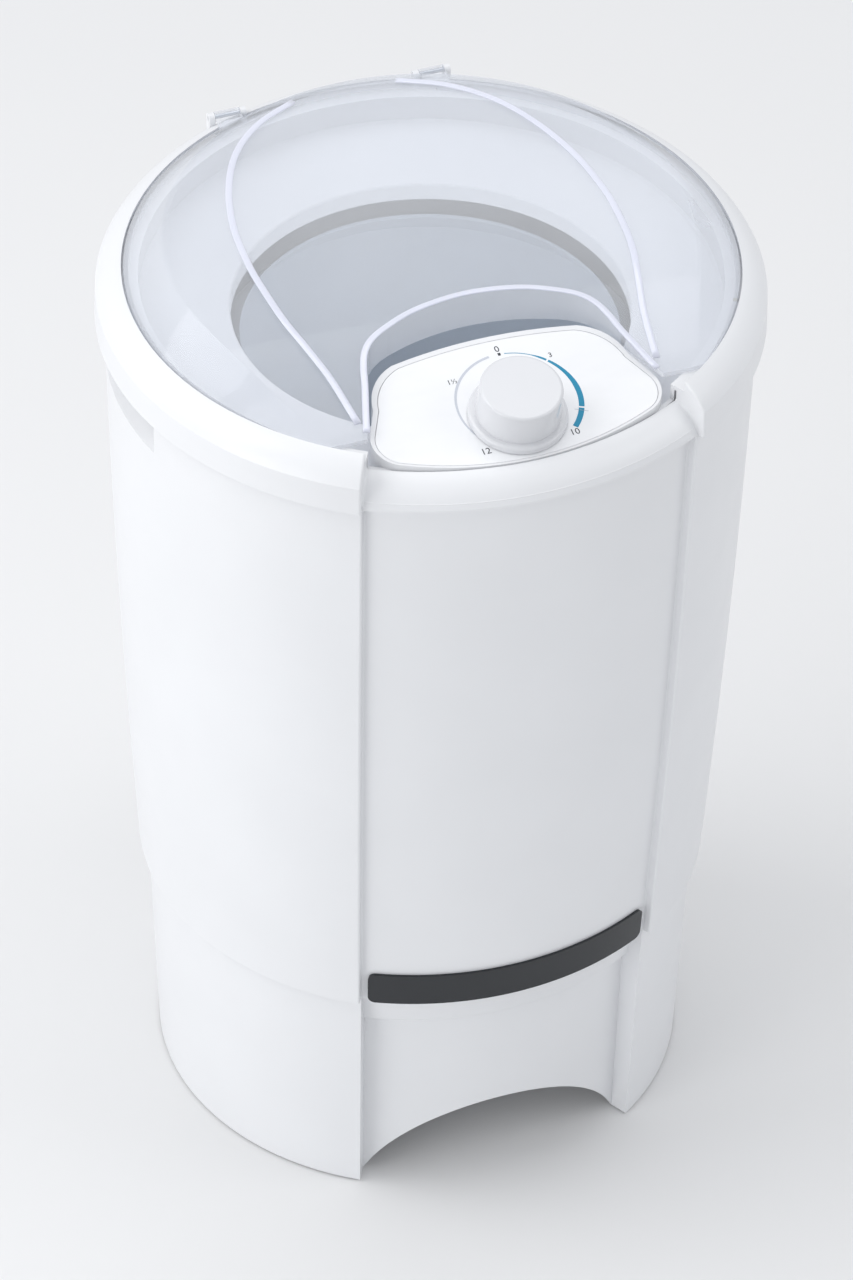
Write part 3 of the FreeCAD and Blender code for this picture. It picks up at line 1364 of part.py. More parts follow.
def drum_hub():
    """Cast hub that carries the drum's floor on the drive shaft."""
    body = new_body("drum_hub")
    bore = size.shaft_radius
    under = size.drum_floor - size.hub_flange
    spin(body, "hub_form", [
        (bore, size.hub_foot), (size.hub_neck_radius, size.hub_foot),
        (size.hub_neck_radius + 4, under), (size.hub_radius, under),
        (size.hub_radius, size.drum_floor), (size.hub_neck_radius, size.drum_floor),
        (size.hub_neck_radius, size.drum_floor + 6), (bore, size.drum_floor + 6)])
    screw_holes(body, "hub_hole")
    node("drum_hub", body)


def hub_cap():
    """Smooth cap over the hub inside the drum."""
    body = new_body("hub_cap")
    floor = size.drum_floor + size.drum_wall
    wall = size.cap_wall
    top = floor + size.cap_rise
    bend = wall / 2
    spin(body, "cap_form", [
        (size.hub_radius - wall, floor), (size.hub_radius, floor),
        (size.hub_radius, floor + wall), size.cap_side, (size.cap_crown, top - bend), (0, top),
        (0, top - wall), (size.cap_crown - bend, top - wall - bend), wall - size.cap_side,
        (size.hub_radius - wall, floor + wall)])
    node("hub_cap", body)


def drive_shaft():
    body = new_body("drive_shaft")
    thread_foot = size.drum_floor + size.hub_thread_rise
    spin(body, "shaft_form", [
        (0, size.shaft_foot), (size.shaft_radius, size.shaft_foot),
        (size.shaft_radius, thread_foot), (size.shaft_thread_radius, thread_foot),
        (size.shaft_thread_radius, size.shaft_end), (0, size.shaft_end)])
    node("drive_shaft", body)


def shaft_nut():
    body = new_body("shaft_nut")
    corners = [(size.nut_across * math.cos(math.radians(60 * index)),
                size.nut_across * math.sin(math.radians(60 * index))) for index in range(6)]
    extrude(body, "nut_pad", size.nut_height, paths=[corners],
            rings=[(0, 0, size.shaft_thread_radius)],
            shift=(0, 0, size.drum_floor + size.hub_thread_rise))
    node("shaft_nut", body)


# --------------------------------------------------------- support plate and mounts

def support_plate():
    """Steel plate with three arms that hangs motor and tub on the suspension mounts."""
    arms = []
    for index, angle in enumerate(mount_angles):
        spot = on_circle(size.mount_circle, angle)
        arms.append(cylinder("plate_end_%d" % index, size.plate_arm_radius,
                             size.plate_thickness, up=size.plate_height, **spot))
        arm = new_body("plate_arm_%d" % index)
        half = size.plate_arm_radius
        extrude(arm, "plate_arm_pad_%d" % index, size.plate_thickness,
                paths=[[(-1.6 * half, 0), (1.6 * half, 0), (half, -size.mount_circle),
                        (-half, -size.mount_circle)]], shift=(0, 0, size.plate_height))
        arms.append(place(arm, turn=angle))
    disc = cylinder("plate_disc", size.plate_radius, size.plate_thickness, up=size.plate_height)
    whole = fused("plate_whole", disc, *arms)
    bore = cylinder("plate_bore", size.housing_radius, size.over, up=size.plate_height - 2)
    holes = bolt_cylinders("plate_hole", size.bolt_radius + size.gap, size.over,
                           size.plate_height - 2)
    node("support_plate", cut_from("support_plate", whole, bore, *holes))


def bolt_cylinders(name, radius, height, up):
    return [cylinder("%s_%d" % (name, index), radius, height, up=up,
                     **on_circle(size.bolt_circle, 45 + 90 * index)) for index in range(4)]


def suspension_mounts():
    """Three waisted rubber mounts between the stand's towers and the plate's arms."""
    mounts = []
    height = size.plate_height - tower_end
    for index, angle in enumerate(mount_angles):
        body = new_body("mount_%d" % index)
        radius = size.tower_top
        spin(body, "mount_form_%d" % index, [
            (0, 0), (radius, 0), (radius, height / 6), (radius * 0.7, height / 3),
            (radius * 0.7, height * 2 / 3), (radius, height * 5 / 6), (radius, height),
            (0, height)])
        mounts.append(place(body, up=tower_end, **on_circle(size.mount_circle, angle)))
    node("suspension_mounts", group("suspension_mounts", mounts))


def bearing_housing():
    """Flanged housing of the upper bearing; its spigot goes up through the tub's floor."""
    body = new_body("bearing_housing")
    spin(body, "housing_form", [
        (size.shaft_radius + size.housing_clear, plate_top - size.plate_thickness),
        (size.housing_radius, plate_top - size.plate_thickness), (size.housing_radius, plate_top),
        (size.housing_flange, plate_top), (size.housing_flange, plate_top + size.flange_edge),
        (size.housing_shoulder, plate_top + size.flange_rise),
        (size.housing_shoulder, size.tub_floor - size.tub_wall),
        (size.housing_radius, size.tub_floor - size.tub_wall),
        (size.housing_radius, size.housing_top),
        (size.bearing_radius, size.housing_top),
        (size.bearing_radius, size.housing_top - size.bearing_height),
        (size.shaft_radius + size.housing_clear, size.housing_top - size.bearing_height)])
    node("bearing_housing", body)


def bearing(name, foot):
    """Ball bearing as one ring: outer race held, inner bore running on the shaft."""
    body = new_body(name)
    bore = size.shaft_radius + size.running_gap
    outer = size.bearing_radius
    height = size.bearing_height
    race = size.race_width
    groove = foot + height - size.race_groove
    spin(body, name + "_form", [
        (bore, foot), (outer, foot), (outer, foot + height), (outer - race, foot + height),
        (outer - race, groove), (bore + race, groove), (bore + race, foot + height),
        (bore, foot + height)])
    node(name, body)


# ------------------------------------------------------------------------- motor

def motor_housing():
    body = new_body("motor_housing")
    spin(body, "can_form", [
        (size.motor_radius - size.motor_wall, size.motor_foot),
        (size.motor_radius, size.motor_foot), (size.motor_radius, size.motor_top),
        (size.motor_radius - size.motor_wall, size.motor_top)])
    node("motor_housing", body)


def bell_tip(lower):
    """Height of the outer face of an end bell's boss."""
    if lower:
        return size.motor_foot - size.bell_height - size.bell_boss_height
    return size.motor_top + size.bell_height + size.bell_boss_height


def end_bell(name, lower):
    """Domed end of the motor whose boss holds a bearing against a lip."""
    body = new_body(name + "_form")
    edge = size.motor_foot if lower else size.motor_top
    out = -1 if lower else 1
    face = edge + out * size.bell_height
    tip = bell_tip(lower)
    lip = tip - out * size.bearing_height
    shelf = lip - out * size.bell_lip
    web = face - out * size.bell_web
    rim = size.motor_radius
    spin(body, name + "_spin", [
        (size.shaft_radius + size.bell_lip, shelf), (size.shaft_radius + size.bell_lip, lip),
        (size.bearing_radius, lip), (size.bearing_radius, tip), (size.bell_boss, tip),
        (size.bell_boss + size.bell_boss_height, face), (rim - size.bell_web, face),
        (rim, edge), (rim - size.bell_web, edge), (rim - 2 * size.bell_web, web),
        (size.bell_boss, web), (size.bell_boss, shelf)])
    vents = []
    for index in range(6):
        vents.append(cylinder("%s_vent_%d" % (name, index), size.bell_web, 4 * size.over,
                              up=face - 2 * size.over,
                              **on_circle((size.bell_boss + size.bolt_circle) / 2, 60 * index)))
    holes = bolt_cylinders(name + "_bolt_hole", size.bolt_radius + size.gap, 8 * size.over,
                           face - 4 * size.over)
    node(name, cut_from(name, body, *vents, *holes))


def stator():
    """Laminated stator core with its winding heads above and below."""
    body = new_body("stator_form_body")
    middle = (size.motor_foot + size.motor_top) / 2
    low = middle - size.core_height / 2
    high = middle + size.core_height / 2
    bore = size.rotor_radius + size.air_gap
    outer = size.motor_radius - size.motor_wall - size.running_gap
    head = bore + size.winding_inset
    head_outer = size.bolt_circle - size.bolt_radius - size.winding_clear
    spin(body, "stator_form", [
        (bore, low), (head, low), (head, low - size.winding_rise),
        (head_outer, low - size.winding_rise), (head_outer, low), (outer, low), (outer, high),
        (head_outer, high), (head_outer, high + size.winding_rise),
        (head, high + size.winding_rise), (head, high), (bore, high)])
    ways = bolt_cylinders("stator_bolt_way", size.bolt_radius + size.gap, size.core_height + 2,
                          low - 1)
    node("stator", cut_from("stator", body, *ways))


def rotor():
    body = new_body("rotor")
    middle = (size.motor_foot + size.motor_top) / 2
    low = middle - size.core_height / 2
    high = middle + size.core_height / 2
    spin(body, "rotor_form", [
        (size.shaft_radius, low), (size.rotor_radius, low), (size.rotor_radius, high),
        (size.shaft_radius, high)])
    node("rotor", body)


def cooling_fan():
    """Fan under the motor: a disc with a hub and straight blades."""
    body = new_body("cooling_fan")
    top = size.motor_foot - size.bell_height - size.bell_boss_height - size.fan_gap
    low = top - size.fan_height
    spin(body, "fan_disc", [
        (size.shaft_radius, low), (size.shaft_radius * 2, low),
        (size.shaft_radius * 2, top - size.fan_web), (size.fan_radius, top - size.fan_web),
        (size.fan_radius, top), (size.shaft_radius, top)])
    root_end = size.shaft_radius + size.blade_root
    half = size.blade_half
    blade = extrude(body, "fan_blade", size.fan_height, paths=[[
        (root_end, -half), (size.fan_radius, -half), (size.fan_radius, half),
        (root_end, half)]], shift=(0, 0, low))
    repeat_round(body, "fan_blades", blade, 8)
    node("cooling_fan", body)


def motor_bolts():
    """Four long bolts that clamp the motor under the support plate, with spacer sleeves."""
    bolts = []
    foot = size.motor_foot - size.bell_height
    for index in range(4):
        spot = on_circle(size.bolt_circle, 45 + 90 * index)
        shank = cylinder("bolt_shank_%d" % index, size.bolt_radius,
                         plate_top + size.bolt_end - foot, up=foot, **spot)
        head = cylinder("bolt_head_%d" % index, size.bolt_head_radius, size.bolt_head_height,
                        up=foot - size.bolt_head_height, **spot)
        nut = cylinder("bolt_nut_%d" % index, size.bolt_head_radius, size.bolt_head_height,
                       up=plate_top, **spot)
        sleeve_foot = size.motor_top + size.bell_height
        sleeve = cylinder("bolt_sleeve_%d" % index, size.sleeve_radius,
                          size.plate_height - sleeve_foot, up=sleeve_foot, **spot)
        bolts.append(fused("motor_bolt_%d" % index, shank, head, nut, sleeve))
    node("motor_bolts", group("motor_bolts", bolts))


# ------------------------------------------------------------------------- brake

brake_foot = size.motor_top + size.bell_height + size.bell_boss_height + size.brake_lower_gap
lever_place = size.brake_radius + size.brake_gap + size.shoe_depth + size.lever_width / 2


def brake_drum():
    body = new_body("brake_drum")
    rim = size.brake_radius - size.brake_wall
    hub = size.shaft_radius + size.brake_hub
    web = brake_foot + size.brake_web
    spin(body, "brake_form", [
        (size.shaft_radius, brake_foot), (size.brake_radius, brake_foot),
        (size.brake_radius, brake_foot + size.brake_height),
        (rim, brake_foot + size.brake_height), (rim, web), (hub, web),
        (hub, brake_foot + size.brake_height),
        (size.shaft_radius, brake_foot + size.brake_height)])
    node("brake_drum", body)


def brake_lever():
    """Lever beside the brake drum with a curved shoe; it swings in when the lid opens."""
    body = new_body("brake_lever")
    middle = brake_foot + (size.brake_height - size.lever_thickness) / 2
    half = size.lever_length / 2
    width = size.lever_width / 2
    extrude(body, "lever_bar", size.lever_thickness, shift=(0, 0, middle), paths=[[
        (lever_place - width, -half), width * 1.0001, (lever_place + width, -half),
        (lever_place + width, half), width * 1.0001, (lever_place - width, half)]],
        rings=[(lever_place, -half, size.pivot_radius + size.running_gap)])
    node("brake_lever", body)


def brake_shoe():
    body = new_body("brake_shoe")
    middle = brake_foot + (size.brake_height - size.lever_thickness) / 2
    reach = size.brake_radius + size.brake_gap
    across = root(reach * reach - size.shoe_half * size.shoe_half)
    back = lever_place - size.lever_width / 2
    extrude(body, "shoe_pad", size.lever_thickness, shift=(0, 0, middle), paths=[[
        (back, -size.shoe_half), (back, size.shoe_half), (across, size.shoe_half), -reach,
        (across, -size.shoe_half)]])
    node("brake_shoe", body)


def brake_pivot():
    """Pin that hangs the brake lever under the support plate."""
    body = new_body("brake_pivot")
    low = brake_foot + (size.brake_height - size.lever_thickness) / 2
    high = low + size.lever_thickness + size.gap
    wide = 2 * size.pivot_radius
    spot = {"across": lever_place, "along": -size.lever_length / 2}
    spin(body, "pivot_form", [
        (0, low - size.pivot_head), (wide, low - size.pivot_head), (wide, low - size.gap),
        (size.pivot_radius, low - size.gap), (size.pivot_radius, high), (wide, high),
        (wide, size.plate_height), (0, size.plate_height)])
    node("brake_pivot", place(body, **spot))


# ---------------------------------------------------- electrical parts and the drain

def capacitor_parts():
    spot = on_circle(size.mount_circle - size.capacitor_inset, size.capacitor_angle)
    can = cylinder("capacitor_can", size.capacitor_radius, size.capacitor_height,
                   up=deck_top, **spot)
    tabs = [block("capacitor_tab_%d" % side, size.tab_width, size.tab_thickness,
                  size.tab_height, up=deck_top + size.capacitor_height, across=spot["across"],
                  along=spot["along"] + side * size.tab_width) for side in (-1, 1)]
    node("run_capacitor", fused("run_capacitor", can, *tabs))
    outer = cylinder("clamp_outer", size.capacitor_radius + size.gap + size.clamp_wall,
                     size.clamp_height, up=deck_top, **spot)
    foot = block("clamp_foot", 2 * size.capacitor_radius + size.clamp_foot_length,
                 size.clamp_foot_width, size.clamp_foot_height, up=deck_top, **spot)
    bore = cylinder("clamp_bore", size.capacitor_radius + size.gap, size.clamp_height + 4,
                    up=deck_top - 2, **spot)
    node("capacitor_clamp", cut_from("capacitor_clamp", fused("clamp_solid", outer, foot), bore))


def terminal_block():
    spot = on_circle(size.mount_circle - size.terminal_inset, size.terminal_angle)
    base = block("terminal_base", size.terminal_length, size.terminal_width,
                 size.terminal_height, up=deck_top, **spot)
    slots = [block("terminal_slot_%d" % index, size.terminal_slot, size.terminal_width + 2,
                   size.terminal_slot, up=deck_top + size.terminal_height - 4,
                   across=spot["across"] + (index - 1) * size.terminal_pitch,
                   along=spot["along"])
             for index in range(3)]
    node("terminal_block", cut_from("terminal_block", base, *slots))


def cord_gland():
    """Gland for the mains lead in the stand's back wall."""
    body = new_body("cord_gland")
    bore = size.gland_bore
    neck = size.gland_radius - size.gland_neck - size.gap
    spin(body, "gland_form", [
        (bore, -size.gland_tail), (neck, -size.gland_tail), (neck, 0), (size.gland_radius, 0),
        (size.gland_radius, size.gland_nut),
        (neck - 1, 6), (bore + 1, 9), (bore, 9)])
    place(body, across=size.gland_across, along=size.gland_back, up=size.gland_height, tilt=-90)
    node("cord_gland", body)


def drain_hose():
    """Straight hose from the tub's stub to the spout under the deck."""
    body = new_body("drain_hose")
    low = deck_foot - size.hose_drop
    high = size.tub_floor - size.tub_wall - size.tub_slope - 1
    inner = size.hose_radius - size.hose_wall
    extrude(body, "hose_pad", high - low,
            rings=[(0, size.drain_circle, size.hose_radius), (0, size.drain_circle, inner)],
            shift=(0, 0, low))
    node("drain_hose", body)


def drain_spout():
    """Bent spout in the hose's lower end; it points out under the back arch."""
    body = new_body("drain_spout")
    outer = size.hose_radius - size.hose_wall - size.gap
    inner = outer - size.hose_wall
    top = deck_foot + size.spout_lap
    bend_top = deck_foot - size.spout_drop
    turn = size.spout_turn
    profile = new_sketch(body, "spout_profile", "XY_Plane", (0, 0, top))
    ring(profile, 0, size.drain_circle, outer)
    ring(profile, 0, size.drain_circle, inner)
    route = new_sketch(body, "spout_route", "YZ_Plane")
    start = (size.drain_circle, top)
    bend = (size.drain_circle, bend_top)
    leave = (size.drain_circle + turn, bend_top - turn)
    end = (size.drain_circle + turn + size.spout_tail, bend_top - turn)
    route.addGeometry(Part.LineSegment(point_of(start), point_of(bend)), False)
    route.addGeometry(arc_between(point_of(bend), point_of(leave), turn.value), False)
    route.addGeometry(Part.LineSegment(point_of(leave), point_of(end)), False)
    for edge, corner in ((0, start), (2, leave)):
        hold_point(route, edge, 1, corner)
    hold_point(route, 0, 2, bend)
    hold_point(route, 2, 2, end)
    pipe = body.newObject("PartDesign::AdditivePipe", "spout_pipe")
    pipe.Profile = profile
    pipe.Spine = (route, ["Edge1", "Edge2", "Edge3"])
    node("drain_spout", body)


# -------------------------------------------------------------------- lid switch

def lid_switch():
    """Switch box under the lid's seat and the plunger that the lid's rim holds down."""
    top = size.seat_height - size.moulding - size.gap
    near = size.switch_near
    case = new_body("switch_case")
    half = size.switch_width / 2
    extrude(case, "switch_case_pad", size.switch_height, shift=(0, 0, top - size.switch_height),
            paths=[[(half, -near), (-half, -near), (-half, -near - size.switch_length),
                    (half, -near - size.switch_length)]],
            rings=[(0, -size.switch_circle, size.plunger_radius + size.running_gap)])
    node("lid_switch", place(case, turn=size.switch_angle))
    length = size.moulding + size.plunger_reach
    spot = on_circle(size.switch_circle, size.switch_angle)
    node("switch_plunger", cylinder("switch_plunger", size.plunger_radius, length,
                                    up=size.seat_height + size.lid_lift - size.gap - length,
                                    **spot))


def build():
    base_stand()
    rubber_feet()
    cabinet_shell()
    trim_strip()
    top_cover()
    control_panel()
    timer_knob()
    timer_shaft()
    timer_body()
    lid()
    hinge_pins()
    outer_tub()
    tub_gasket()
    drum_basket()
    drum_hub()
    drum_screws()
    hub_cap()
    drive_shaft()
    shaft_nut()
    support_plate()
    suspension_mounts()
    bearing_housing()
    bearing("upper_bearing", size.housing_top - size.bearing_height)
    bearing("middle_bearing", bell_tip(False) - size.bearing_height)
    bearing("lower_bearing", bell_tip(True))
    motor_housing()
    end_bell("upper_end_bell", False)
    end_bell("lower_end_bell", True)
    stator()
    rotor()
    cooling_fan()
    motor_bolts()
    brake_drum()
    brake_lever()
    brake_shoe()
    brake_pivot()
    capacitor_parts()
    terminal_block()
    cord_gland()
    drain_hose()
    drain_spout()
    lid_switch()


def check_and_write():
    """Stop on any failed object or empty shape, then write one file per sub-part."""
    doc.recompute()
    failed = [thing.Name for thing in doc.Objects
              if "Invalid" in thing.State or "Error" in thing.State]
    if failed:
        raise RuntimeError("failed: " + ", ".join(failed))
    os.makedirs("parts", exist_ok=True)
    for name, thing in nodes.items():
        shape = thing.Shape
        if shape.isNull() or not shape.isValid() or not shape.Solids:
            raise RuntimeError("%s has no sound solid" % name)
        shape.exportStep(os.path.join("parts", name + ".step"))
        print("%-20s %2d solid(s) %12.0f mm3" % (name, len(shape.Solids), shape.Volume))


build()
check_and_write()
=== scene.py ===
"""Looks of the laundry spin dryer: finishes for every CAD piece, printed dial, lid beads, stage.

Laid out as an add-on and run as a script. Lengths are metres in the CAD frame: origin on
the floor at the drum's axis, +Z up, the dial's side faces -Y.
"""

import math

import bmesh
import bpy
from bpy.props import FloatProperty, FloatVectorProperty, PointerProperty
from mathutils import Matrix, Vector


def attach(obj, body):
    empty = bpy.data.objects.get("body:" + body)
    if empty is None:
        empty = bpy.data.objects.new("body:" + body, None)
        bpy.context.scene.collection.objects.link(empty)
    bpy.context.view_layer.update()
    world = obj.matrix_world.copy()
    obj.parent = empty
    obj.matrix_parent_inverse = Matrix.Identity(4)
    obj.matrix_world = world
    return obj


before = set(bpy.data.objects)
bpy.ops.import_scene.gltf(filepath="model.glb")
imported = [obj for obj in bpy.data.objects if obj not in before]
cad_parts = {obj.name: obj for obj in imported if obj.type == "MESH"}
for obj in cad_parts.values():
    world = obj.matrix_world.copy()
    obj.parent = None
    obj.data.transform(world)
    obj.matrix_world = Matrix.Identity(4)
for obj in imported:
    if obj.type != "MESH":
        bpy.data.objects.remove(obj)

bl_info = {
    "name": "Laundry Spin Dryer",
    "version": (1, 0, 0),
    "blender": (4, 5, 0),
    "location": "3D View > Sidebar > Spin Dryer",
    "description": "Finishes and details for a compact laundry spin dryer",
    "category": "Object",
}

MM = 0.001
MACHINE = "frame"


def linear(code):
    """An sRGB hex colour as linear RGBA."""
    parts = [int(code[at:at + 2], 16) / 255 for at in (0, 2, 4)]
    return tuple(part / 12.92 if part <= 0.04045 else ((part + 0.055) / 1.055) ** 2.4
                 for part in parts) + (1.0,)


# ------------------------------------------------------------------- user's settings

def length_property(name, about, millimetres):
    return FloatProperty(name=name, description=about, default=millimetres * MM,
                         subtype="DISTANCE", unit="LENGTH", precision=4)


def colour_property(name, about, code):
    return FloatVectorProperty(name=name, description=about, default=linear(code), size=4,
                               subtype="COLOR", min=0.0, max=1.0)


class SpinDryerSizes(bpy.types.PropertyGroup):
    """Sizes of the printed dial, the lid's beads and the small hardware."""

    scale_front: length_property("Scale forward", "Scale's middle before the drum's axis",
                                 143.8)
    scale_across: length_property("Scale sideways", "Scale's middle beside the axis", 4.9)
    scale_radius: length_property("Scale radius", "Printed time scale round the knob", 40.1)
    number_height: length_property("Number height", "Height of the printed numbers", 4.9)
    print_rise: length_property("Print thickness", "Ink stands this far off the panel", 0.08)
    lip_width: length_property("Lid lip", "Bead round the lid's notch", 4.4)
    lip_rise: length_property("Lip rise", "Bead stands this far off the lid", 0.5)
    rib_width: length_property("Lid rib", "Bead down each side of the lid's top", 4.6)


class SpinDryerColours(bpy.types.PropertyGroup):
    """Colours of the visible finishes."""

    white_abs: colour_property("White ABS", "Cabinet, stand and top cover", "E6E7E9")
    panel: colour_property("Panel face", "Printed control panel", "EDEEF0")
    knob: colour_property("Knob", "Timer knob", "D9DADD")
    lid: colour_property("Lid", "Clear lid's own tint", "FBFCFE")
    strip: colour_property("Strip", "Dark strip across the front", "171B20")
    ink: colour_property("Dark ink", "Numbers on the dial", "33373D")
    teal: colour_property("Teal ink", "Running part of the time scale", "0789AE")
    pale_ink: colour_property("Pale ink", "Resting part of the time scale", "C9CDD6")
    steel: colour_property("Drum steel", "Drum's stainless sheet", "C2C9D2")
    floor: colour_property("Floor", "Studio floor", "E6E6E6")


# ------------------------------------------------------------------- material helpers

def add_node(tree, kind, inputs=None, **settings):
    """Add a node, set it up, and give its inputs values or other nodes' outputs."""
    node = tree.nodes.new("ShaderNode" + kind)
    for key, value in settings.items():
        setattr(node, key, value)
    for socket, value in (inputs or {}).items():
        if isinstance(value, bpy.types.NodeSocket):
            tree.links.new(value, node.inputs[socket])
        else:
            node.inputs[socket].default_value = value
    return node


def new_material(name):
    material = bpy.data.materials.new(name)
    material.use_nodes = True
    material.node_tree.nodes.clear()
    return material, material.node_tree


def pattern(tree, size_mm, stretch=(1, 1, 1), detail=3.0, roughness=0.5):
    """Noise whose blobs measure about size_mm, stretched along the object's own axes."""
    place = add_node(tree, "TexCoord")
    scaled = add_node(tree, "Mapping", {"Vector": place.outputs["Object"],
                                        "Scale": Vector(stretch)})
    return add_node(tree, "TexNoise", {"Vector": scaled.outputs["Vector"],
                                       "Scale": 1 / (size_mm * MM), "Detail": detail,
                                       "Roughness": roughness}).outputs["Fac"]


def between(tree, value, low, high, start=0.3, end=0.7):
    """Map a 0..1 value onto low..high."""
    return add_node(tree, "MapRange", {"Value": value, "From Min": start, "From Max": end,
                                       "To Min": low, "To Max": high}).outputs["Result"]


def tinted(tree, value, first, second):
    """Mix two colours by a 0..1 value."""
    node = add_node(tree, "Mix", data_type="RGBA")
    tree.links.new(value, node.inputs["Factor"])
    colours = [socket for socket in node.inputs if socket.type == "RGBA"]
    colours[0].default_value = first
    colours[1].default_value = second
    return [socket for socket in node.outputs if socket.type == "RGBA"][0]


def shade(colour, factor):
    return tuple(part * factor for part in colour[:3]) + (1.0,)


def relief(tree, height, depth_mm, normal=None):
    """Bump from a height pattern of the given real depth."""
    inputs = {"Height": height, "Distance": depth_mm * MM, "Strength": 1.0}
    if normal is not None:
        inputs["Normal"] = normal
    return add_node(tree, "Bump", inputs).outputs["Normal"]


def soft_edges(tree, radius_mm):
    """Shading of a moulded edge: no moulding leaves the tool with a knife edge."""
    return add_node(tree, "Bevel", {"Radius": radius_mm * MM}, samples=4).outputs["Normal"]


def principled(tree, **inputs):
    """The Principled shader, with names written as in its panel but with underscores."""
    named = {key.replace("_", " "): value for key, value in inputs.items()}
    shader = add_node(tree, "BsdfPrincipled", named)
    add_node(tree, "OutputMaterial", {"Surface": shader.outputs["BSDF"]})
    return shader


# -------------------------------------------------------------------------- materials

def moulded_abs(name, colour, gloss, texture_mm=5.0, depth_mm=0.01):
    """Injection moulded ABS: even colour, soft gloss and a faint orange peel."""
    material, tree = new_material(name)
    peel = pattern(tree, texture_mm, detail=1.0)
    flow = pattern(tree, 90, detail=2.0)
    smudge = pattern(tree, 34, detail=2.0)
    normal = relief(tree, peel, depth_mm)
    principled(tree, Base_Color=tinted(tree, between(tree, flow, 0, 1),
                                       colour, shade(colour, 0.975)),
               Roughness=between(tree, smudge, gloss - 0.03, gloss + 0.05),
               IOR=1.53, Normal=normal)
    return material


def printed_panel(name, colour):
    """Screen-printed PET foil on the panel: satin, with the foil's fine emboss."""
    material, tree = new_material(name)
    emboss = pattern(tree, 0.9, detail=1.0)
    wipe = pattern(tree, 22, (1, 3, 1), detail=3.0)
    principled(tree, Base_Color=tinted(tree, between(tree, wipe, 0, 1),
                                       colour, shade(colour, 0.985)),
               Roughness=between(tree, wipe, 0.30, 0.38), IOR=1.57,
               Normal=relief(tree, emboss, 0.006, soft_edges(tree, 0.5)))
    return material


def ink(name, colour):
    """Screen-printing ink: matt, with the faint mottle of its mesh."""
    material, tree = new_material(name)
    mottle = pattern(tree, 0.6, detail=1.0)
    principled(tree, Base_Color=tinted(tree, between(tree, mottle, 0, 1),
                                       colour, shade(colour, 0.92)),
               Roughness=0.5, IOR=1.5)
    return material


def clear_san(name, colour):
    """Clear SAN, moulded and polished: see-through face on, milky and bright edge on."""
    material, tree = new_material(name)
    facing = add_node(tree, "LayerWeight", {"Blend": 0.35}).outputs["Facing"]
    flow = pattern(tree, 120, detail=1.0)
    haze = between(tree, facing, 0.13, 0.50, 0.0, 1.0)
    lie = add_node(tree, "SeparateXYZ", {
        "Vector": add_node(tree, "TexCoord").outputs["Normal"]}).outputs["Z"]
    flat = add_node(tree, "Math", {0: lie}, operation="ABSOLUTE").outputs["Value"]
    deep = add_node(tree, "Math", {0: haze, 1: between(tree, flat, 0.42, 0.0, 0.1, 0.5)},
                    operation="MAXIMUM").outputs["Value"]
    milk = add_node(tree, "Math", {0: deep, 1: between(tree, flow, -0.01, 0.015)},
                    operation="ADD").outputs["Value"]
    ripple = relief(tree, pattern(tree, 45, detail=1.0), 0.05)
    clear = add_node(tree, "BsdfTransparent", {"Color": colour})
    body = add_node(tree, "BsdfPrincipled", {
        "Base Color": shade(colour, 0.97), "Roughness": 0.08, "IOR": 1.57, "Normal": ripple,
        "Coat Weight": 0.4, "Coat Roughness": 0.03})
    mixed = add_node(tree, "MixShader", {0: milk, 1: clear.outputs["BSDF"],
                                         2: body.outputs["BSDF"]})
    add_node(tree, "OutputMaterial", {"Surface": mixed.outputs["Shader"]})
    return material


def san_painted_highlight(name, colour):
    """Thick edge of clear SAN, painted pale and nearly opaque: a painted highlight for the glow of
    light piped through the plastic.
    """
    material, tree = new_material(name)
    streak = pattern(tree, 16, detail=2.0)
    facing = add_node(tree, "LayerWeight", {"Blend": 0.5}).outputs["Facing"]
    pale = tinted(tree, between(tree, streak, 0, 1), colour, shade(colour, 0.97))
    # The pale body, mixed in at nearly every angle, is the painted highlight.
    body = add_node(tree, "BsdfPrincipled", {
        "Base Color": pale, "Roughness": 0.06, "IOR": 1.57, "Coat Weight": 0.8})
    clear = add_node(tree, "BsdfTransparent", {"Color": colour})
    mixed = add_node(tree, "MixShader", {
        0: between(tree, facing, 0.72, 0.95, 0.0, 1.0), 1: clear.outputs["BSDF"],
        2: body.outputs["BSDF"]})
    add_node(tree, "OutputMaterial", {"Surface": mixed.outputs["Shader"]})
    return material


def spun_steel(name, colour):
    """Spun stainless sheet: fine rings round the drum's axis, drawn at 1.2 mm to show."""
    material, tree = new_material(name)
    rings = pattern(tree, 1.2, (0.02, 0.02, 1), detail=2.0)
    cloud = pattern(tree, 60, detail=3.0)
    principled(tree, Base_Color=tinted(tree, between(tree, cloud, 0, 1),
                                       colour, shade(colour, 0.93)),
               Metallic=0.55, Roughness=between(tree, rings, 0.38, 0.48),
               Normal=relief(tree, rings, 0.01))
    return material


def turned_steel(name, colour, roughness=0.28):
    """Turned or ground steel: bright, with tool marks about 0.8 mm apart."""
    material, tree = new_material(name)
    marks = pattern(tree, 0.8, (0.05, 0.05, 1), detail=2.0)
    oil = pattern(tree, 12, detail=3.0)
    principled(tree, Base_Color=tinted(tree, between(tree, oil, 0, 1),
                                       colour, shade(colour, 0.85)),
               Metallic=1.0, Roughness=between(tree, oil, roughness, roughness + 0.12),
               Normal=relief(tree, marks, 0.01))
    return material


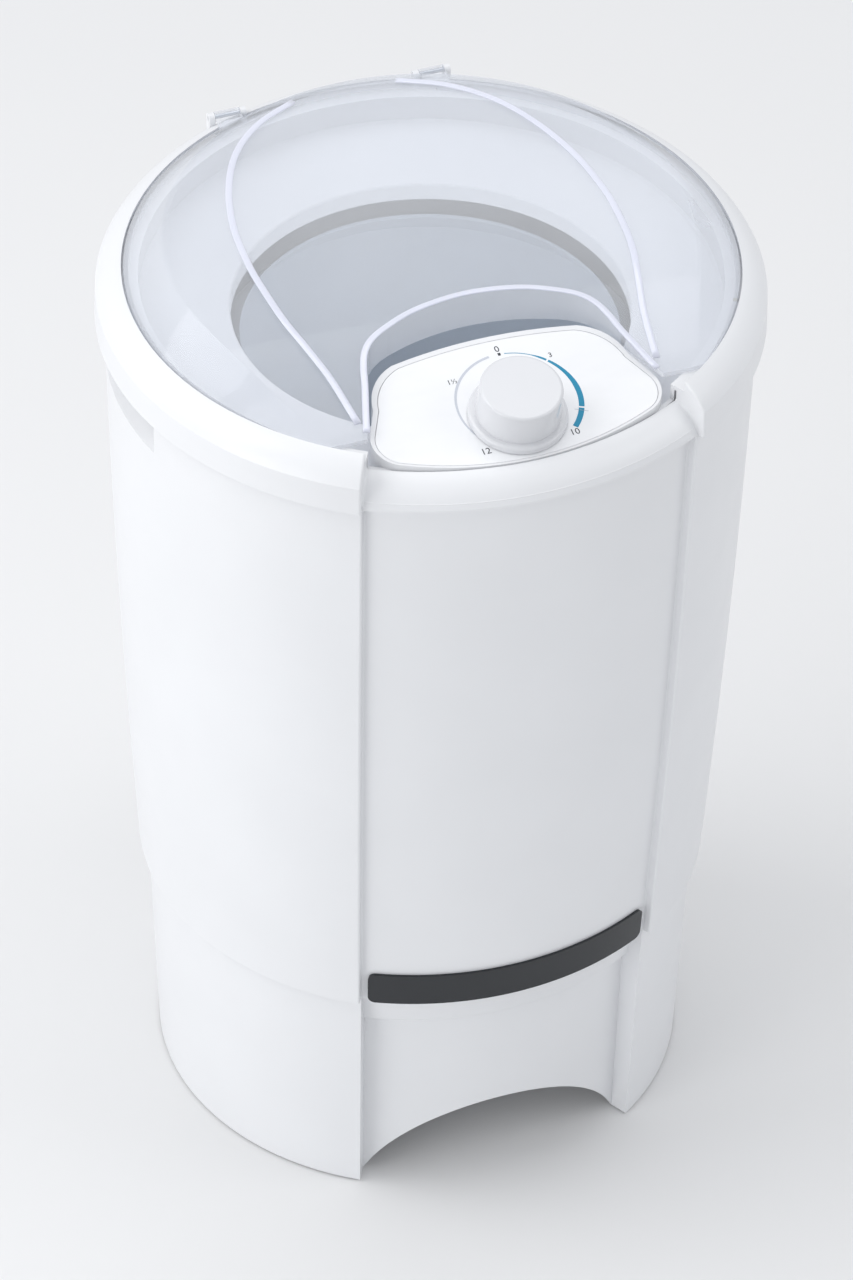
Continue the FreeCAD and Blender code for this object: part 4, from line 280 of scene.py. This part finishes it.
def zinc_plated(name, colour):
    """Zinc-plated pressed steel: cool grey spangle about 6 mm across, dulled in patches."""
    material, tree = new_material(name)
    place = add_node(tree, "TexCoord").outputs["Object"]
    spangle = add_node(tree, "TexVoronoi", {"Vector": place, "Scale": 1 / (6 * MM)})
    tone = add_node(tree, "SeparateColor", {"Color": spangle.outputs["Color"]}).outputs[0]
    dull = pattern(tree, 25, detail=4.0)
    principled(tree, Base_Color=tinted(tree, tone, colour, shade(colour, 0.88)),
               Metallic=1.0, Roughness=between(tree, dull, 0.32, 0.5),
               Normal=relief(tree, tone, 0.01))
    return material


def die_cast(name, colour):
    """Die-cast aluminium: satin skin with flow marks and a 1 mm grain."""
    material, tree = new_material(name)
    grain = pattern(tree, 1.0, detail=4.0)
    flow = pattern(tree, 30, detail=3.0)
    principled(tree, Base_Color=tinted(tree, between(tree, flow, 0, 1),
                                       colour, shade(colour, 0.86)),
               Metallic=1.0, Roughness=between(tree, flow, 0.42, 0.55),
               Normal=relief(tree, grain, 0.05, soft_edges(tree, 0.6)))
    return material


def laminated_steel(name, colour):
    """Stacked electrical steel: soft bands along the stack, 12.6 mm apart, under varnish."""
    material, tree = new_material(name)
    place = add_node(tree, "TexCoord").outputs["Object"]
    sheets = add_node(tree, "TexWave", {"Vector": place, "Scale": 1 / (40 * MM),
                                        "Distortion": 0.0}, bands_direction="Z").outputs["Fac"]
    varnish = pattern(tree, 8, detail=3.0)
    principled(tree, Base_Color=tinted(tree, between(tree, sheets, 0, 1, 0, 1),
                                       colour, shade(colour, 0.6)),
               Metallic=0.7, Roughness=between(tree, varnish, 0.35, 0.55),
               Normal=relief(tree, sheets, 0.1))
    return material


def baked_enamel(name, colour):
    """Stove enamel on a pressed can: half gloss with orange peel 2.5 mm across."""
    material, tree = new_material(name)
    peel = pattern(tree, 2.5, detail=2.0)
    dust = pattern(tree, 18, detail=5.0)
    principled(tree, Base_Color=tinted(tree, between(tree, dust, 0, 1),
                                       colour, shade(colour, 1.35)),
               Roughness=between(tree, dust, 0.35, 0.55), IOR=1.5,
               Normal=relief(tree, peel, 0.03, soft_edges(tree, 0.8)))
    return material


def moulded_rubber(name, colour):
    """Moulded rubber: dull, dusted grey on its open faces, with a 0.7 mm grain."""
    material, tree = new_material(name)
    grain = pattern(tree, 0.7, detail=3.0)
    dust = pattern(tree, 14, detail=5.0)
    principled(tree, Base_Color=tinted(tree, between(tree, dust, 0, 1),
                                       colour, shade(colour, 1.5)),
               Roughness=between(tree, dust, 0.62, 0.8), IOR=1.52,
               Normal=relief(tree, grain, 0.04, soft_edges(tree, 0.6)))
    return material


def moulded_plastic(name, colour, roughness=0.45):
    """Plain engineering plastic, such as polyamide or polypropylene: fine spark-eroded grain."""
    material, tree = new_material(name)
    grain = pattern(tree, 0.8, detail=3.0)
    tone = pattern(tree, 28, detail=2.0)
    principled(tree, Base_Color=tinted(tree, between(tree, tone, 0, 1),
                                       colour, shade(colour, 0.93)),
               Roughness=between(tree, tone, roughness - 0.05, roughness + 0.07), IOR=1.52,
               Normal=relief(tree, grain, 0.02, soft_edges(tree, 0.5)))
    return material


def studio_floor(name, colour):
    """Painted studio floor: matt and even."""
    material, tree = new_material(name)
    roller = pattern(tree, 400, detail=2.0)
    principled(tree, Base_Color=tinted(tree, between(tree, roller, 0, 1),
                                       colour, shade(colour, 0.992)),
               Roughness=0.9, IOR=1.45)
    return material


# ------------------------------------------------------------------------ mesh helpers

def wear(object_, material):
    """Give an object one material in all its slots."""
    if not object_.data.materials:
        object_.data.materials.append(material)
    for index in range(len(object_.data.materials)):
        object_.data.materials[index] = material


def dress(material, *names):
    """Give CAD nodes a material."""
    for name in names:
        wear(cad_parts[name], material)


def add_piece(name, corners, faces, material, body=MACHINE, smooth=True):
    """A new mesh piece that rides on a body."""
    mesh = bpy.data.meshes.new(name)
    mesh.from_pydata([tuple(corner) for corner in corners], [], faces)
    mesh.update()
    sheet = bmesh.new()
    sheet.from_mesh(mesh)
    bmesh.ops.recalc_face_normals(sheet, faces=sheet.faces)
    sheet.to_mesh(mesh)
    sheet.free()
    for polygon in mesh.polygons:
        polygon.use_smooth = smooth
    piece = bpy.data.objects.new(name, mesh)
    bpy.context.scene.collection.objects.link(piece)
    wear(piece, material)
    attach(piece, body)
    return piece


def swept(path, profile, closed=False):
    """Corners and faces of a profile swept along a path.

    path holds (point, side, up) and profile holds (across, height) in metres.
    """
    corners = [point + side * across + up * height
               for point, side, up in path for across, height in profile]
    count = len(profile)
    faces = []
    stops = len(path) if closed else len(path) - 1
    for stop in range(stops):
        here = stop * count
        there = ((stop + 1) % len(path)) * count
        for at in range(count):
            following = (at + 1) % count
            faces.append((here + at, here + following, there + following, there + at))
    if not closed:
        faces.append(tuple(range(count)))
        faces.append(tuple(range((len(path) - 1) * count, len(path) * count)))
    return corners, faces


def spline(points, steps):
    """A smooth line through points (Catmull-Rom), with steps stretches between two points."""
    points = [Vector(point) for point in points]
    padded = [2 * points[0] - points[1]] + points + [2 * points[-1] - points[-2]]
    line = []
    for at in range(1, len(padded) - 2):
        before, start, end, after = padded[at - 1:at + 3]
        for step in range(steps):
            t = step / steps
            line.append(0.5 * (2 * start + (end - before) * t
                               + (2 * before - 5 * start + 4 * end - after) * t * t
                               + (3 * start - before - 3 * end + after) * t ** 3))
    line.append(points[-1])
    return line


def along(line, up=Vector((0, 0, 1))):
    """Give each point of a line its sideways and upward directions."""
    path = []
    for at, point in enumerate(line):
        ahead = line[min(at + 1, len(line) - 1)] - line[max(at - 1, 0)]
        side = ahead.cross(up).normalized()
        path.append((point, side, side.cross(ahead).normalized()))
    return path


def lay_on(node, points):
    """Lower each point until it lies on a CAD node."""
    lowered = []
    for x, y in points:
        start = Vector((x, y, 1.0))
        hit, spot, _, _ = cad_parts[node].ray_cast(start, Vector((0, 0, -1)))
        if not hit:
            raise RuntimeError("no surface of %s under %.3f, %.3f" % (node, x, y))
        lowered.append(spot)
    return lowered


def eased(line, passes=3):
    """Smooth the heights of a line, so that a bead doesn't show the facets under it."""
    line = [point.copy() for point in line]
    for _ in range(passes):
        heights = [point.z for point in line]
        for at in range(1, len(line) - 1):
            line[at].z = (heights[at - 1] + 2 * heights[at] + heights[at + 1]) / 4
    return line


def bead_profile(width, rise, sink, steps=8):
    """Half-round bead: width across, rise above its surface, sunk a little into it."""
    top = [(math.cos(math.pi * at / steps) * width / 2, math.sin(math.pi * at / steps) * rise)
           for at in range(steps + 1)]
    return [(width / 2, -sink)] + top + [(-width / 2, -sink)]


def tube_profile(radius, steps=14):
    return [(math.cos(math.tau * at / steps) * radius, math.sin(math.tau * at / steps) * radius)
            for at in range(steps)]


# --------------------------------------------------------------------- the dial's plane

PANEL_SLOPE = math.atan(0.2126)
PANEL_FRONT = 0.190
PANEL_FRONT_HEIGHT = 0.640

FONT_SIZE_PER_HEIGHT = 1.38
SMALL_NUMBER = 0.8
BAND_GROWTH = 1.6  # a band reaches its last width after 1 / 1.6 of its way


def panel_point(sizes, radius, angle, rise=0.0):
    """A point on the panel at a radius and a clockwise angle from the scale's back."""
    height = PANEL_FRONT_HEIGHT + math.tan(PANEL_SLOPE) * (PANEL_FRONT - sizes.scale_front)
    across = Vector((1, 0, 0))
    back = Vector((0, math.cos(PANEL_SLOPE), math.sin(PANEL_SLOPE)))
    normal = Vector((0, -math.sin(PANEL_SLOPE), math.cos(PANEL_SLOPE)))
    turn = math.radians(angle)
    return (Vector((sizes.scale_across, -sizes.scale_front, height))
            + across * radius * math.sin(turn) + back * radius * math.cos(turn)
            + normal * rise)


def band(sizes, start, end, inner, outer, rise, step=2.0):
    """Corners and faces of a thin printed band between two angles.

    inner and outer are functions of the share of the way round.
    """
    count = max(2, int(abs(end - start) / step))
    corners = []
    for at in range(count + 1):
        share = at / count
        angle = start + (end - start) * share
        for radius in (inner(share), outer(share)):
            corners.append(panel_point(sizes, radius, angle, 0.0))
            corners.append(panel_point(sizes, radius, angle, rise))
    faces = []
    for at in range(count):
        here = at * 4
        there = here + 4
        faces += [(here + 1, here + 3, there + 3, there + 1), (here, there, there + 2, here + 2),
                  (here, here + 1, there + 1, there), (here + 2, there + 2, there + 3, here + 3)]
    faces += [(0, 2, 3, 1), (count * 4, count * 4 + 1, count * 4 + 3, count * 4 + 2)]
    return corners, faces


def printed_number(sizes, name, text, radius, angle, material, height):
    """A printed number on the panel, as a thin mesh that follows the panel's slope."""
    letters = bpy.data.curves.new(name, "FONT")
    letters.body = text
    letters.size = height * FONT_SIZE_PER_HEIGHT
    letters.align_x = "CENTER"
    letters.align_y = "CENTER"
    letters.extrude = sizes.print_rise / 2
    letters.resolution_u = 3
    loose = bpy.data.objects.new(name + "_letters", letters)
    bpy.context.scene.collection.objects.link(loose)
    bpy.context.view_layer.update()
    mesh = bpy.data.meshes.new_from_object(
        loose.evaluated_get(bpy.context.evaluated_depsgraph_get()))
    bpy.data.objects.remove(loose)
    mesh.name = name
    spot = panel_point(sizes, radius, angle, sizes.print_rise / 2)
    mesh.transform(Matrix.Translation(spot) @ Matrix.Rotation(PANEL_SLOPE, 4, "X"))
    piece = bpy.data.objects.new(name, mesh)
    bpy.context.scene.collection.objects.link(piece)
    wear(piece, material)
    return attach(piece, MACHINE)


# ------------------------------------------------------------------ beads and the stage

# Right half of the lid seen from above, millimetres sideways and to the back.
RIB_PLAN = ((101, -138), (106, -103), (112, -78), (118.5, -50), (121.5, -20), (122, 10),
            (118, 50), (107, 90), (90, 124), (66, 149), (36, 165))
LIP_PLAN = ((98.4, -146), (92.5, -128), (86.5, -110), (83.5, -99.5), (78.5, -87.5),
            (70.5, -78.5), (58, -71.5), (40, -64.2), (20, -60), (0, -58.4))
BEAD_SINK = 0.6 * MM

# Name, place, width and watts of each softbox.
SOFTBOXES = (("key", (-2.6, 0.9, 3.0), 2.6, 44), ("fill", (2.6, -1.4, 2.4), 2.2, 16),
             ("top", (0.2, 0.6, 3.8), 2.4, 24), ("low", (-3.0, -1.2, 1.0), 2.0, 26))
SOFTBOX_AIM = Vector((0, 0, 0.35))
AIR_STRENGTH = 0.74
GLOW_PLACE = (0, 0, 0.50)
GLOW_RADIUS = 0.07
GLOW_WATTS = 0.5
FLOOR_REACH = 12.0

VIEW_AZIMUTH = math.radians(-21.3)
VIEW_ELEVATION = math.radians(40.5)
VIEW_ROLL = math.radians(1.2)
VIEW_DISTANCE = 5.11
VIEW_HEIGHT = 0.337
VIEW_SHIFT = 1.7 * MM
LENS_MM = 213.75
SENSOR_MM = 36
FARTHEST_SEEN = 60


# --------------------------------------------------------------------------- operators

class SpinDryerOperator:
    """What the operators share."""

    bl_options = {"REGISTER", "UNDO"}

    def execute(self, context):
        self.make(context.scene.spin_dryer_sizes, context.scene.spin_dryer_colours)
        return {"FINISHED"}


class SPINDRYER_OT_mouldings(SpinDryerOperator, bpy.types.Operator):
    """Finish the white stand, cabinet and top cover"""

    bl_idname = "spindryer.mouldings"
    bl_label = "White mouldings"

    def make(self, sizes, colours):
        white = colours.white_abs
        dress(moulded_abs("ABS_moulded_white", white, 0.34),
              "cabinet_shell", "base_stand", "top_cover")
        dress(moulded_abs("ABS_gloss_black", colours.strip, 0.22, 4.0, 0.006),
              "trim_strip")
        dress(printed_panel("PET_foil_printed", colours.panel), "control_panel")
        dress(moulded_rubber("Rubber_moulded_black", linear("232425")), "rubber_feet")


class SPINDRYER_OT_lid(SpinDryerOperator, bpy.types.Operator):
    """Finish the clear lid and lay its beads"""

    bl_idname = "spindryer.lid"
    bl_label = "Clear lid"

    def make(self, sizes, colours):
        dress(clear_san("SAN_clear_moulded", colours.lid), "lid")
        # The beads wear a painted highlight: pale, nearly opaque plastic in place of the bright lines
        # that light draws along them.
        edge = san_painted_highlight("SAN_painted_highlight", linear("EEF0FB"))
        dress(turned_steel("Steel_pin_ground", linear("E2E4E7")), "hinge_pins")
        for word, side in (("left", -1), ("right", 1)):
            plan = spline([(side * x * MM, y * MM, 0) for x, y in RIB_PLAN], 6)
            self.lay_bead("lid_rib_" + word, plan, sizes.rib_width, sizes.lip_rise, edge)
        half = [(x * MM, y * MM, 0) for x, y in LIP_PLAN]
        whole = half + [(-x, y, z) for x, y, z in reversed(half[:-1])]
        self.lay_bead("lid_notch_lip", spline(whole, 5), sizes.lip_width, sizes.lip_rise,
                      edge)

    def lay_bead(self, name, plan, width, rise, material):
        """A half-round bead on the lid's top, moulded with it."""
        line = eased(lay_on("lid", [(point.x, point.y) for point in plan]))
        corners, faces = swept(along(line), bead_profile(width, rise, BEAD_SINK))
        add_piece(name, corners, faces, material, "lid")


class SPINDRYER_OT_dial(SpinDryerOperator, bpy.types.Operator):
    """Print the time scale and its numbers"""

    bl_idname = "spindryer.dial"
    bl_label = "Printed dial"

    def make(self, sizes, colours):
        dark = ink("Ink_screen_dark", colours.ink)
        teal = ink("Ink_screen_teal", colours.teal)
        pale = ink("Ink_screen_pale", colours.pale_ink)
        for name, start, end, first, last in (
                ("start", 7, 32, 0.5, 0.5), ("swell", 32, 46.4, 0.6, 1.5),
                ("run", 48.2, 111.2, 1.7, 3.6), ("last", 113.0, 136.4, 3.6, 3.6)):
            self.lay_band(sizes, name, start, end, first, last, teal)
        self.lay_band(sizes, "rest", 212, 352, 0.8, 1.7, pale)
        self.lay_band(sizes, "zero_mark", 1.0, 3.6, 2.2, 2.2, dark)
        self.lay_band(sizes, "tick", 115.4, 116.0, 9.0, 9.0, pale)
        for name, text, radius, angle in (
                ("zero", "0", 44.4, 2), ("three", "3", 45.0, 47), ("ten", "10", 42.0, 142),
                ("twelve", "12", 47.5, 226), ("one_half", "1½", 44.0, 307)):
            printed_number(sizes, "dial_number_" + name, text, radius * MM, angle, dark,
                           sizes.number_height * (SMALL_NUMBER if name in ("one_half", "three") else 1))

    def lay_band(self, sizes, name, start, end, first_mm, last_mm, material):
        """A printed band that widens evenly from its first width to its last."""
        def half(share):
            widest = first_mm + (last_mm - first_mm) * min(1.0, BAND_GROWTH * share)
            return widest * MM / 2
        corners, faces = band(sizes, start, end, lambda t: sizes.scale_radius - half(t),
                              lambda t: sizes.scale_radius + half(t), sizes.print_rise)
        add_piece("dial_band_" + name, corners, faces, material, smooth=False)


class SPINDRYER_OT_knob(SpinDryerOperator, bpy.types.Operator):
    """Finish the timer knob, its shaft and its case"""

    bl_idname = "spindryer.knob"
    bl_label = "Timer knob"

    def make(self, sizes, colours):
        dress(moulded_abs("ABS_knob_gloss", colours.knob, 0.14, 4.0, 0.004),
              "timer_knob")
        dress(turned_steel("Steel_shaft_turned", linear("B9BBBE")), "timer_shaft")
        dress(moulded_plastic("PA_timer_case", linear("D8D2C0")), "timer_body")


class SPINDRYER_OT_drum(SpinDryerOperator, bpy.types.Operator):
    """Finish the drum, hub, tub and gasket"""

    bl_idname = "spindryer.drum"
    bl_label = "Drum and tub"

    def make(self, sizes, colours):
        dress(spun_steel("Stainless_spun", colours.steel), "drum_basket")
        dress(die_cast("Aluminium_die_cast", linear("C3C5C8")), "drum_hub", "bearing_housing",
              "upper_end_bell", "lower_end_bell")
        dress(moulded_plastic("PP_cap_grey", linear("B9BEC6"), 0.35), "hub_cap")
        dress(moulded_plastic("PP_tub_white", linear("D6D9DD"), 0.4), "outer_tub")
        dress(moulded_rubber("Rubber_seal_grey", linear("7A7F87")), "tub_gasket")


class SPINDRYER_OT_drive(SpinDryerOperator, bpy.types.Operator):
    """Finish the motor, its mounts and the brake"""

    bl_idname = "spindryer.drive"
    bl_label = "Motor and brake"

    def make(self, sizes, colours):
        dress(turned_steel("Steel_drive_turned", linear("B4B6B9")), "drive_shaft", "shaft_nut",
              "upper_bearing", "middle_bearing", "lower_bearing", "drum_screws", "brake_pivot")
        dress(zinc_plated("Steel_zinc_plated", linear("B7BABD")), "support_plate",
              "motor_bolts", "brake_lever", "capacitor_clamp")
        dress(moulded_rubber("Rubber_mount_black", linear("1F2021")), "suspension_mounts")
        dress(baked_enamel("Enamel_motor_grey", linear("3B4046")), "motor_housing")
        dress(laminated_steel("Steel_laminated", linear("6E6A66")), "stator", "rotor")
        dress(turned_steel("Cast_iron_turned", linear("77777A"), 0.4), "brake_drum")
        dress(moulded_plastic("PA_fan_black", linear("202225")), "cooling_fan")
        dress(moulded_rubber("Brake_lining_brown", linear("4A3A30")), "brake_shoe")


class SPINDRYER_OT_electrics(SpinDryerOperator, bpy.types.Operator):
    """Finish the capacitor, terminals, switch, gland and drain"""

    bl_idname = "spindryer.electrics"
    bl_label = "Electrics and drain"

    def make(self, sizes, colours):
        dress(moulded_plastic("PP_capacitor_case", linear("D2CDBF")), "run_capacitor")
        dress(moulded_plastic("PA_terminal_natural", linear("DAD6C8")), "terminal_block",
              "switch_plunger")
        dress(moulded_plastic("PA_black", linear("1D1F21")), "cord_gland", "drain_spout",
              "lid_switch")
        dress(moulded_rubber("Rubber_hose_black", linear("26282A")), "drain_hose")


class SPINDRYER_OT_stage(SpinDryerOperator, bpy.types.Operator):
    """Lay the floor and set the lights and the camera"""

    bl_idname = "spindryer.stage"
    bl_label = "Studio stage"

    def make(self, sizes, colours):
        scene = bpy.context.scene
        scene.view_settings.view_transform = "Standard"
        self.lay_floor(colours)
        self.set_lights(scene)
        self.set_camera(scene)

    def lay_floor(self, colours):
        reach = FLOOR_REACH
        mesh = bpy.data.meshes.new("studio_floor")
        mesh.from_pydata([(-reach, -reach, 0), (reach, -reach, 0), (reach, reach, 0),
                          (-reach, reach, 0)], [], [(0, 1, 2, 3)])
        floor = bpy.data.objects.new("studio_floor", mesh)
        bpy.context.scene.collection.objects.link(floor)
        wear(floor, studio_floor("Studio_floor_paint", colours.floor))

    def set_lights(self, scene):
        world = bpy.data.worlds.new("studio_air")
        world.use_nodes = True
        back = world.node_tree.nodes["Background"]
        back.inputs["Color"].default_value = linear("F4F6FA")
        back.inputs["Strength"].default_value = AIR_STRENGTH
        scene.world = world
        for name, spot, width, watts in SOFTBOXES:
            lamp = bpy.data.lights.new("softbox_" + name, "AREA")
            lamp.shape = "DISK"
            lamp.size = width
            lamp.energy = watts
            box = bpy.data.objects.new("softbox_" + name, lamp)
            box.location = spot
            aim = SOFTBOX_AIM - Vector(spot)
            box.rotation_mode = "QUATERNION"
            box.rotation_quaternion = aim.to_track_quat("-Z", "Y")
            scene.collection.objects.link(box)
        glow = bpy.data.lights.new("drum_glow", "POINT")
        glow.energy = GLOW_WATTS
        glow.shadow_soft_size = GLOW_RADIUS
        glow.color = (0.98, 0.99, 1.0)
        inside = bpy.data.objects.new("drum_glow", glow)
        inside.location = GLOW_PLACE
        inside.visible_camera = False
        inside.visible_glossy = False
        scene.collection.objects.link(inside)

    def set_camera(self, scene):
        """A long lens from the front left above: the angle at which the part is judged."""
        right = Vector((math.cos(VIEW_AZIMUTH), math.sin(VIEW_AZIMUTH), 0))
        back = Vector((math.sin(VIEW_AZIMUTH) * math.cos(VIEW_ELEVATION),
                       -math.cos(VIEW_AZIMUTH) * math.cos(VIEW_ELEVATION),
                       math.sin(VIEW_ELEVATION)))
        up = back.cross(right)
        aim = right * VIEW_SHIFT + Vector((0, 0, VIEW_HEIGHT))
        level = right * math.cos(VIEW_ROLL) + up * math.sin(VIEW_ROLL)
        upright = up * math.cos(VIEW_ROLL) - right * math.sin(VIEW_ROLL)
        lens = bpy.data.cameras.new("studio_camera")
        lens.lens = LENS_MM
        lens.sensor_width = SENSOR_MM
        lens.clip_end = FARTHEST_SEEN
        camera = bpy.data.objects.new("studio_camera", lens)
        turn = Matrix((level, upright, back)).transposed().to_4x4()
        camera.matrix_world = Matrix.Translation(aim + back * VIEW_DISTANCE) @ turn
        scene.collection.objects.link(camera)
        scene.camera = camera


OPERATORS = (SPINDRYER_OT_mouldings, SPINDRYER_OT_lid, SPINDRYER_OT_dial, SPINDRYER_OT_knob,
             SPINDRYER_OT_drum, SPINDRYER_OT_drive, SPINDRYER_OT_electrics, SPINDRYER_OT_stage)


class SPINDRYER_PT_pieces(bpy.types.Panel):
    """Sidebar panel with one button for each group of pieces."""

    bl_idname = "SPINDRYER_PT_pieces"
    bl_label = "Spin Dryer"
    bl_space_type = "VIEW_3D"
    bl_region_type = "UI"
    bl_category = "Spin Dryer"

    def draw(self, context):
        for operator in OPERATORS:
            self.layout.operator(operator.bl_idname, text=operator.bl_label)
        for group in (context.scene.spin_dryer_sizes, context.scene.spin_dryer_colours):
            column = self.layout.column()
            for name in group.__annotations__:
                column.prop(group, name)


CLASSES = (SpinDryerSizes, SpinDryerColours) + OPERATORS + (SPINDRYER_PT_pieces,)


def register():
    for kind in CLASSES:
        bpy.utils.register_class(kind)
    bpy.types.Scene.spin_dryer_sizes = PointerProperty(type=SpinDryerSizes)
    bpy.types.Scene.spin_dryer_colours = PointerProperty(type=SpinDryerColours)


def unregister():
    del bpy.types.Scene.spin_dryer_sizes
    del bpy.types.Scene.spin_dryer_colours
    for kind in reversed(CLASSES):
        bpy.utils.unregister_class(kind)


def main():
    """Make every piece in order."""
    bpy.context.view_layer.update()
    register()
    for operator in OPERATORS:
        group, name = operator.bl_idname.split(".")
        getattr(getattr(bpy.ops, group), name)()


if __name__ == "__main__":
    main()
